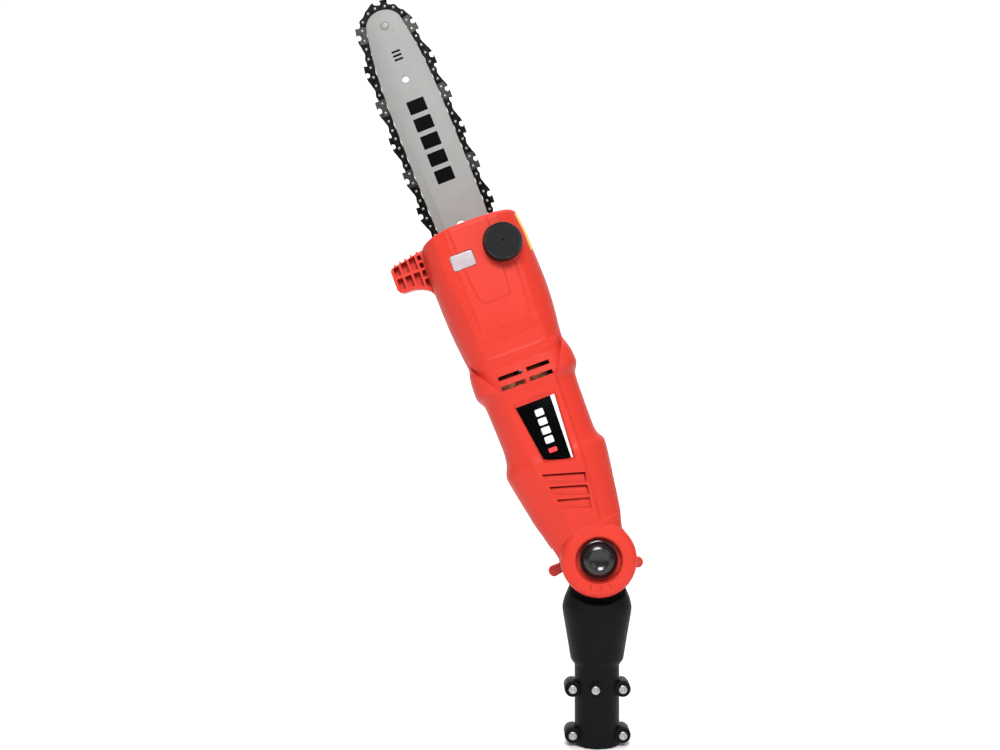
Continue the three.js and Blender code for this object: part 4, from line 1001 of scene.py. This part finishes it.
def add_bar():
    """Two plates and a narrower core, which leaves the groove and room for the nose sprocket."""
    for k, name in enumerate(("bar_near_plate", "bar_core_plate", "bar_far_plate")):
        y0, y1 = PLATE_Y[k]
        core = k == 1
        outline = bar_outline(5.5 if core else 0, not core)
        plate = slab("plate", outline, y0, y1, BAR, edge=0 if core else 0.22, steps=2)
        cut(plate, *bar_holes(y0 - 1, y1 + 1))
        if core:
            cut(plate, pin(0, NOSE_S, 16.4, y0 - 1, y1 + 1, BAR))
        if k < 2:
            cut(plate, pin(6.1, NOSE_S - 8.4, 1.0, y0 - 1, y1 + 1, BAR, 16))
        piece(plate, name.replace("bar_", "guide_bar_"), "guide_bar", "bar_steel", [name], angle=25)
    profile = [(0, 18.9), (3.2, 18.9), (3.9, 19.1), (4.1, 19.4), (4.1, 22.6), (3.9, 22.9), (0, 23.1)]
    rivet = lathe("rivet", profile, 0, NOSE_S, BAR, 48)
    piece(rivet, "bar_nose_rivet", "guide_bar", "bar_steel", ["nose_rivet"], look="nose_rivet")


def add_bar_print():
    """Plain printed blocks, and three small ones nearer the nose."""
    near, far = PLATE_Y[0][0], PLATE_Y[2][1]
    for name, y0, y1 in (("near", near - 0.05, near - 0.01), ("far", far + 0.01, far + 0.05)):
        parts = blocks(BAR, y0, y1, (0.8, 178), 19, 96, 5, 5)
        parts += blocks(BAR, y0, y1, (1.3, 272.5), 9.5, 13, 3, 2.2)
        piece(merged("print", parts), f"bar_print_{name}", "guide_bar", "label_black")


# ------------------------------------------------------------------ saw chain
def rivet_line():
    """Rivet centres: under the sprocket, up the tight run, over the nose and down the slack run."""
    edge = BAR_EDGE[3:9]
    tight = [(22.2, 30), (27, 60), *[(x + TIGHT_RISE, s) for x, s in edge]]
    slack = [(-22.6, 30), (-27.7, 60), *[(-x - SLACK_RISE, s) for x, s in edge]]
    nose_x = (TIGHT_RISE - SLACK_RISE) / 2
    wide, long = NOSE_WIDTH + (TIGHT_RISE + SLACK_RISE) / 2, NOSE_LENGTH + TIGHT_RISE
    start = arc(0, 0, SPROCKET_RIVETS, 190, 350, 60)
    nose = [(nose_x + wide * math.cos(t), NOSE_S + long * math.sin(t)) for t in np.linspace(0, math.pi, 90)]
    path = np.vstack([start, spline([*tight, nose[0]]), nose, spline([nose[-1], *slack[::-1], start[0]])])
    step = np.linalg.norm(np.diff(path, axis=0), axis=1)
    path = path[np.concatenate([[True], step > 1e-6])]
    length = np.concatenate([[0], np.cumsum(np.linalg.norm(np.diff(path, axis=0), axis=1))])
    turns = np.arange(CHAIN_RIVETS) + CHAIN_PHASE
    turns[1::2] -= STRAP_STRETCH
    at = turns / CHAIN_RIVETS * length[-1]
    return np.stack([np.interp(at, length, path[:, 0]), np.interp(at, length, path[:, 1])], axis=1)


def strap_outline(pitch, foot):
    """A waisted link with its rivets at 0 and pitch, and its feet on the bar's rail."""
    feet = [(-3.6, -1.6), (-2.2, -foot), (2.4, -foot), (pitch / 2, 0.5 - foot),
            (pitch - 2.4, -foot), (pitch + 2.2, -foot), (pitch + 3.6, -1.6)]
    points = arc(0, 0, 3.7, 60, 180, 8) + feet + arc(pitch, 0, 3.7, 0, 120, 8) + [(pitch / 2, 2.5)]
    return points[::-1]


def drive_outline(pitch, fin, tang_depth):
    """A drive link: its tang runs in the bar's groove. A fin leads each cutter."""
    body = [(-2.2, 3.1), (-3.4, 1.4), (-3.4, -1.4), (-2.6, -3.2)]
    tang = [(0.6, -5.4), (3.2, -tang_depth), (pitch - 2.4, -tang_depth), (pitch - 0.4, -5.4)]
    front = [(pitch + 2.6, -3.2), (pitch + 3.4, -1.4), (pitch + 3.4, 1.4), (pitch + 2.2, 3.1)]
    top = [(pitch * 0.62, 3.0), (pitch * 0.38, 3.0)]
    if fin:
        top = [(pitch + 0.4, 3.9), (pitch * 0.6, 5.0), (pitch * 0.25, 6.3), (-0.6, 6.9), (-1.7, 6.6),
               (-1.2, 4.6)]
    return (body + tang + front + top)[::-1]


def cutter_outline(pitch, foot):
    """Side plate of a cutter: tooth over the rear rivet, depth gauge over the front one."""
    return [
        (-4.0, -2.2), (-3.2, -foot), (2.4, -foot), (pitch / 2, 0.4 - foot), (pitch - 2.4, -foot),
        (pitch + 2.9, -foot), (pitch + 3.9, -2.0), (pitch + 4.0, 1.4), (pitch + 3.6, 4.2), (pitch + 2.6, 5.2),
        (pitch + 0.6, 5.4), (pitch - 0.6, 4.4), (pitch - 1.8, 2.7), (pitch - 3.4, 2.3), (4.6, 3.2),
        (3.4, 5.0), (4.0, 7.0),
        (-2.8, 6.9), (-3.6, 5.9), (-3.2, 3.4), (-4.0, 1.6),
    ]


def link(shape, y0, y1, start, along, edge):
    """An outline in link coordinates, placed on the chain."""
    out = np.array([along[1], -along[0]])
    flat = [tuple(start + t * along + n * out) for t, n in shape]
    return slab("link", flat, y0, y1, BAR, edge=edge)


def top_plate(start, along, y0, y1):
    """The chisel over a cutter's tooth, wider in front than behind."""
    out = np.array([along[1], -along[0]])
    middle, half = (y0 + y1) / 2, (y1 - y0) / 2
    rings = []
    for t, share, low, high in ((-3.4, 0.8, 6.0, 6.8), (0, 0.9, 6.1, 7.0), (4.3, 1.0, 6.3, 7.2)):
        flat = [start + t * along + rise * out for rise in (low, low, high, high)]
        rings.append(at_depth(flat, middle + half * share * np.array([-1, 1, 1, -1])))
    return skin("chisel", rings, BAR)


DRIVE_Y = (20.4, 21.6)
CHAIN_SIDES = (
    # side, which link of each round of cutters carries one, straps, cutter plates, top plates
    ("near", NEAR_CUTTER, (19.0, 20.15), (18.95, 20.15), (18.6, 22.6)),
    ("far", FAR_CUTTER, (21.85, 23.0), (21.85, 23.05), (19.4, 23.4)),
)


def add_chain():
    """Drive links on even pitches, and on odd ones a pair of straps or a strap and a cutter."""
    rivets = rivet_line()
    rows = {"near_straps": [], "near_cutters": [], "drive_links": [], "far_straps": [], "far_cutters": []}
    heads = []
    profile = [(0, 18.5), (0.8, 18.52), (1.35, 18.66), (1.6, 18.98), (1.6, 23.02), (1.3, 23.3), (0, 23.5)]
    for k in range(CHAIN_RIVETS):
        start, stop = rivets[k], rivets[(k + 1) % CHAIN_RIVETS]
        pitch = float(np.linalg.norm(stop - start))
        along = (stop - start) / pitch
        phase = k % CUTTER_EVERY
        slide_room = SLIDE_ROOM if max(start[1], stop[1]) < TAIL_END else 0
        if k % 2 == 0:
            fin = (k - 1) % CUTTER_EVERY in (NEAR_CUTTER, FAR_CUTTER)
            shape = drive_outline(pitch, fin, TANG_DEPTH - slide_room)
            rows["drive_links"].append(link(shape, *DRIVE_Y, start, along, 0.12))
        else:
            foot = (SLACK_FOOT if min(start[0], stop[0]) < -NOSE_WIDTH else TIGHT_FOOT) - slide_room
            for side, cutter_phase, strap_y, plate_y, top_y in CHAIN_SIDES:
                if phase == cutter_phase:
                    plate = link(cutter_outline(pitch, foot), *plate_y, start, along, 0.15)
                    rows[f"{side}_cutters"] += [plate, top_plate(start, along, *top_y)]
                else:
                    strap = link(strap_outline(pitch, foot), *strap_y, start, along, 0.25)
                    rows[f"{side}_straps"].append(strap)
        heads.append(lathe("rivet", profile, *start, BAR, 16))
    nodes = {"near_straps": ["chain_near_links"], "drive_links": ["chain_drive_links"],
             "far_straps": ["chain_far_links"]}
    for name, parts in rows.items():
        # the far cutters are chromed like the near ones; the darker chain steel look on them is painted shade
        look = "cutter_chrome" if name == "near_cutters" else "chain_steel"
        piece(merged(name, parts), f"saw_chain_{name}", "saw_head", look, nodes.get(name, ()))
    rivets = merged("rivets", heads)
    # the rivets' lighter look is partly a painted highlight on their heads
    piece(rivets, "saw_chain_rivets", "saw_head", "cutter_chrome", angle=50, look="rivet_steel")


# ------------------------------------------------------------------ sprocket cover
def add_cover():
    """A hollow shell over the chain compartment, with grip ribs and a boss for the stud."""
    cover = head_half(1, 2.0, 120, STEP_V + COVER_GAP, COVER_Y)
    stud_u, stud_v = bar_point(0, STUD_S)
    cut(cover, room_between(STEP_V + WALL + COVER_GAP, COVER_Y - 5, FAR_OUT))
    join(cover, lathe("boss", [(0, 26), (9, 26), (10.5, 44.5), (0, 44.5)], stud_u, stud_v, HEAD, 40))
    ribs = []
    for k in range(6):
        v = 258 + 9 * k
        ribs.append(slab("groove", rectangle(-8, v, 46 + 2.5 * k, 3.2, 1.5), 45.1, 60, HEAD))
    seat = [(0, 45.3), (13.5, 45.3), (14.5, 46.4), (14.5, 60), (0, 60)]
    cut(cover, box(*CHAIN_MOUTH, 0, 28, 350, 400, HEAD), lathe("seat", seat, stud_u, stud_v, HEAD, 48),
        pin(stud_u, stud_v, 4.6, 10, 60, HEAD), *ribs)
    piece(cover, "sprocket_cover_shell", "sprocket_cover", "cover_black", ["sprocket_cover"])


def thread(start, stop, pitch, crest, root, rise):
    """The part of a turned profile that zigzags between a crest and a root radius."""
    return [point for y in np.arange(start, stop, pitch) for point in ((crest, y), (root, y + rise))]


def add_cover_nut():
    """A flange nut on the stud that carries the bar."""
    u, v = bar_point(0, STUD_S)
    flange = lathe("flange", [(4.4, 46.4), (9.2, 46.4), (10, 46.9), (9.6, 48.0), (7.6, 48.6), (4.4, 48.6)],
                   u, v, HEAD, 48, closed=True)
    body = slab("nut", hexagon(u, v, 7.5), 48.3, 55.4, HEAD, edge=0.5, steps=2)
    cut(body, pin(u, v, 4.4, 45, 58, HEAD))
    piece(join(body, flange), "cover_flange_nut", "cover_nut", "screw_steel", ["cover_nut"])
    profile = [(0, 9.6), (7, 9.6), (7, 13.3), (4, 13.3), *thread(26, 52, 0.8, 4, 3.55, 0.4)]
    stud = lathe("stud", [*profile, (3.6, 52.6), (2.9, 53), (0, 53)], u, v, HEAD, 32)
    piece(stud, "bar_stud_thread", "saw_head", "screw_steel", ["bar_stud"])


# ------------------------------------------------------------------ tilt knob
def add_wing_knob():
    """A knob with two bent wings behind the hub, and the washer under it."""
    y0 = 36.4
    wings = []
    for angle in (-14, 206):
        turn = math.radians(angle)
        outward = Vector((math.cos(turn), math.sin(turn)))
        sideways = Vector((-math.sin(turn), math.cos(turn)))
        lobe = arc(46.5, 0, 6.1, -75, 75, 11)
        local = [(0, -8.5), (18, -6.4), (37, -5.0), *lobe, (37, 5.0), (18, 6.4), (0, 8.5)]
        shape = [tuple(r * outward + w * sideways + Vector((0, PIVOT_HEIGHT))) for r, w in local]
        wings.append(slab("wing", shape, y0 + 0.9, y0 + 10, SAW, edge=2.2, steps=4))
    profile = [(0, y0), (12.6, y0), (13.4, y0 + 0.8), (14.2, y0 + 7.5), (13.6, y0 + 9.6), (11.8, y0 + 11.2),
               (9, y0 + 12), (0, y0 + 12)]
    hub = lathe("hub", profile, 0, PIVOT_HEIGHT, SAW, 64)
    join(hub, *wings)
    dimple = [(0, y0 + 11.2), (6.6, y0 + 11.2), (7.2, y0 + 14), (0, y0 + 14)]
    cut(hub, pin(0, PIVOT_HEIGHT, BOLT_HOLE, y0 - 1, y0 + 9.5, SAW),
        lathe("dimple", dimple, 0, PIVOT_HEIGHT, SAW, 48))
    piece(hub, "tilt_wing_knob", "wing_knob", "knob_red", ["wing_knob"])
    washer = lathe("washer", [(4.3, 34.3), (10.6, 34.3), (11, 34.6), (11, 35.8), (10.6, 36.1), (4.3, 36.1)],
                   0, PIVOT_HEIGHT, SAW, 48, closed=True)
    piece(washer, "tilt_knob_washer", "knob_washer", "screw_steel", ["knob_washer"])


# ------------------------------------------------------------------ pole adapter
# The adapter along its length: height, half width, half depth.
ADAPTER = [
    (0, 21.2, 21.2), (0.5, 22.0, 22.0), (1.6, 22.6, 22.6), (3, 22.75, 22.75), (81, 22.75, 22.75),
    (82.2, 23.2, 23.0), (86.2, 26.2, 25.7), (87.6, 26.9, 26.3), (112, 31, 29), (132, 34.4, 30.9),
    (137, 35.2, 31), (141, 35.3, 31), (145, 34.5, 30.9), (150, 33.2, 30.5), (159.5, 29.2, 28),
]


def adapter_half(side):
    stations = np.array(ADAPTER, float)
    heights = sorted({*stations[:, 0], *np.arange(6, 80, 6.0), *np.arange(89, 159, 2.0)})
    turns = np.linspace(0, math.pi, 72)
    rings = []
    for z in heights:
        wide = np.interp(z, stations[:, 0], stations[:, 1])
        deep = np.interp(z, stations[:, 0], stations[:, 2])
        y = np.maximum(deep * np.sin(turns), PARTING)
        rings.append(np.stack([wide * np.cos(turns), side * y, np.full(len(turns), z)], axis=1))
    return skin("adapter", rings, SAW)


def adapter_ear(x, z, side):
    profile = [(0, PARTING), (8.2, PARTING), (8.2, 11.6), (7.9, 12.5), (7.2, 13), (5.9, 13), (5.5, 12.4),
               (4.75, 12.4), (4.6, 13), (0, 13)]
    return lathe("ear", [(r, side * y) for r, y in profile], x, z, SAW, 48)


def upright_pin(radius, z0, z1):
    turns = np.linspace(0, 2 * math.pi, 64, endpoint=False)
    ring = [radius * np.cos(turns), radius * np.sin(turns)]
    return skin("bore", [np.stack([*ring, np.full(64, z)], axis=1) for z in (z0, z1)], SAW)


def adapter_cutters(side):
    """Room for the hub's cheek, the pole's bore, the wire's bore, the screw holes and the bolt's hole."""
    dish = [(0, side * 13.3), (46.2, side * 13.3), (46.2, side * 60), (0, side * 60)]
    return [
        lathe("dish", dish, 0, PIVOT_HEIGHT, SAW, 128),
        upright_pin(18, -2, 80),
        upright_pin(9, 79, 96),
        *[pin(x, z, 2.4, -20, 20, SAW, 20) for x in (-CLAMP_OFFSET, CLAMP_OFFSET) for z in CLAMP_HEIGHTS],
        pin(0, PIVOT_HEIGHT, BOLT_HOLE, -20, 20, SAW, 24),
    ]


SEAM_LIP = (0.6, -0.8, 0.7, 4, 205)      # half width, from y, to y, from z, to z
LIP_ROOM = 0.2


def seam_lips(room):
    """Strips in both walls of the adapter that close the gap between its halves, or their slots."""
    half, y0, y1, z0, z1 = SEAM_LIP
    reach = half + room
    return [box(x - reach, x + reach, y0, y1 + room, z0 - room, z1 + room, SAW) for x in (-20, 20)]


def add_adapter():
    """Two half shells with their ears, and the tongue that stands in the hub."""
    for side, name in ((-1, "front"), (1, "rear")):
        half = adapter_half(side)
        ears = [adapter_ear(x, z, side) for x in (-CLAMP_OFFSET, CLAMP_OFFSET) for z in CLAMP_HEIGHTS]
        near_face, far_face = sorted((side * PARTING, side * 13))
        tongue = [pin(0, PIVOT_HEIGHT, 28, near_face, far_face, SAW, 72),
                  box(-28, 28, near_face, far_face, 154, PIVOT_HEIGHT, SAW)]
        dish, *tools = adapter_cutters(side)
        cut(half, dish)
        join(half, *ears, *tongue)
        if side > 0:
            tools += seam_lips(LIP_ROOM)
        else:
            boss = [(0, -15), (7.4, -15), (7.4, -24.3), (7.0, -24.9), (6.2, -25), (5.4, -24.4),
                    (4.8, -24.4), (4.6, -25), (0, -25)]
            join(half, *seam_lips(0), lathe("boss", boss, *LOCATING, SAW, 56))
            pocket = [(0, -14), (15.6, -14), (15.6, -3), (0, -3)]
            tools += [
                tube(7.5, 8.9, -30, -21.9, *LOCATING, SAW, 56),
                pin(*LOCATING, 2.4, -30, -15, SAW, 20),
                lathe("pocket", pocket, 0, PIVOT_HEIGHT, SAW, 64),
            ]
        cut(half, *tools)
        piece(half, f"adapter_{name}_half", "pole_adapter", "adapter_black", [f"adapter_{name}_shell"])


def socket_screw(x, z, top, bottom):
    """Socket-head screw pointing away from the viewer: knurled head, hexagon socket, threaded end."""
    profile = [(0, top), (3.5, top), (4.0, top + 0.25), (4.3, top + 0.8), (4.3, top + 3.2), (2, top + 3.2),
               *thread(top + 4, bottom - 1, 0.7, 2.0, 1.72, 0.35),
               (1.7, bottom - 0.5), (1.2, bottom), (0, bottom)]
    screw = lathe("screw", profile, x, z, SAW, sides=96, ridges=(32, 0.14, top + 0.7, top + 3.3))
    return cut(screw, slab("socket", hexagon(x, z, 2.25), top - 1, top + 1.9, SAW))


def add_lock_spring():
    """A coil that pushes the lock gear out, and is pressed flat with the button."""
    coil, wire, turns = 7.4, 0.55, 3
    near_end, far_end = -10.25, -4.0
    rings = []
    round_wire = np.linspace(0, 2 * math.pi, 10, endpoint=False)
    for t in np.linspace(0, 2 * math.pi * turns, 30 * turns + 1):
        reach = coil + wire * np.cos(round_wire)
        y = near_end + (far_end - near_end) * t / (2 * math.pi * turns) + wire * np.sin(round_wire)
        rings.append(np.stack([reach * math.cos(t), y, PIVOT_HEIGHT + reach * math.sin(t)], axis=1))
    spring = skin("spring", rings, SAW)
    piece(spring, "lock_spring_coil", "pole_adapter", "screw_steel", ["lock_spring"])
    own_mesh(spring)


def add_adapter_screws():
    corners = [(x, z) for x in (-CLAMP_OFFSET, CLAMP_OFFSET) for z in CLAMP_HEIGHTS]
    for k, (x, z) in enumerate(corners, 1):
        piece(socket_screw(x, z, -16.5, 17.6), f"clamp_socket_screw_{k}", "pole_adapter", "screw_steel",
              [f"clamp_screw_{k}"])
        nut = slab("nut", hexagon(x, z, 4.4), 13.3, 16.7, SAW, edge=0.35, steps=2)
        cut(nut, pin(x, z, 2.2, 12, 18, SAW, 24))
        piece(nut, f"clamp_hex_nut_{k}", "pole_adapter", "screw_steel", [f"clamp_nut_{k}"])
    piece(socket_screw(*LOCATING, -28.3, -15.5), "locating_socket_screw", "pole_adapter", "screw_steel",
          ["pole_locating_screw"])


# ------------------------------------------------------------------ stage, light and camera
def add_stage():
    """A pale floor that curves up into a wall behind the saw."""
    floor_z = cad_box[0].z - 0.0005
    turns = np.linspace(0, math.pi / 2, 13)
    line = [(-6.0, floor_z)] + [(2.2 + 1.2 * math.sin(t), floor_z + 1.2 * (1 - math.cos(t))) for t in turns]
    line.append((3.4, 6.0))
    points = [(x, y, z) for y, z in line for x in (-6.0, 6.0)]
    faces = [(2 * k, 2 * k + 1, 2 * k + 3, 2 * k + 2) for k in range(len(line) - 1)]
    mesh = bpy.data.meshes.new("floor")
    mesh.from_pydata(points, [], faces)
    floor = linked("floor", mesh)
    mesh.shade_smooth()
    paint = Paint("floor")
    paint.shader.inputs["Base Color"].default_value = (0.93, 0.93, 0.93, 1)
    paint.shader.inputs["Roughness"].default_value = 0.9
    paint.shader.inputs["Specular IOR Level"].default_value = 0.1
    mesh.materials.append(paint.material)


def add_light(name, place, aim, size, power, spread=180):
    """A soft box standing at place and turned towards aim."""
    lamp = bpy.data.lights.new(name, "AREA")
    lamp.shape = "RECTANGLE"
    lamp.size, lamp.size_y = size
    lamp.energy = power
    lamp.spread = math.radians(spread)
    obj = linked(name, lamp)
    obj.location = place
    obj.rotation_mode = "QUATERNION"
    obj.rotation_quaternion = (Vector(aim) - Vector(place)).to_track_quat("-Z", "Y")


def add_studio():
    add_light("key", (-0.15, -2.3, 1.8), (-0.13, 0, 0.6), (1.0, 0.9), 23.5, 90)
    add_light("fill", (1.2, -2.0, 0.9), (-0.1, 0, 0.4), (0.8, 1.0), 1.2, 90)
    add_light("backdrop", (-0.1, 0.9, 3.4), (-0.1, 2.0, 0.2), (4.8, 2.4), 135)
    world = bpy.data.worlds.new("studio")
    world.use_nodes = True
    world.node_tree.nodes["Background"].inputs["Color"].default_value = (1, 1, 1, 1)
    world.node_tree.nodes["Background"].inputs["Strength"].default_value = 0.25
    bpy.context.scene.world = world
    bpy.context.scene.view_settings.view_transform = "Standard"


def add_camera():
    camera = bpy.data.cameras.new("camera")
    camera.sensor_width = 36
    camera.lens = 50.5
    camera.clip_start, camera.clip_end = 0.02, 50
    obj = linked("camera", camera)
    obj.location = (-0.0988, -1.430, 0.3757)
    obj.rotation_euler = (math.pi / 2, 0, 0)
    bpy.context.scene.camera = obj


# ------------------------------------------------------------------ assembly
add_camera()
add_studio()
add_stage()
carry_over()
add_near_housing()
add_far_housing()
add_housing_screws()
add_window()
add_oil_cap()
add_button()
add_name_plate()
add_side_label()
add_branch_stop()
add_bar()
add_bar_print()
add_chain()
add_cover()
add_cover_nut()
add_wing_knob()
add_adapter()
add_lock_spring()
add_adapter_screws()
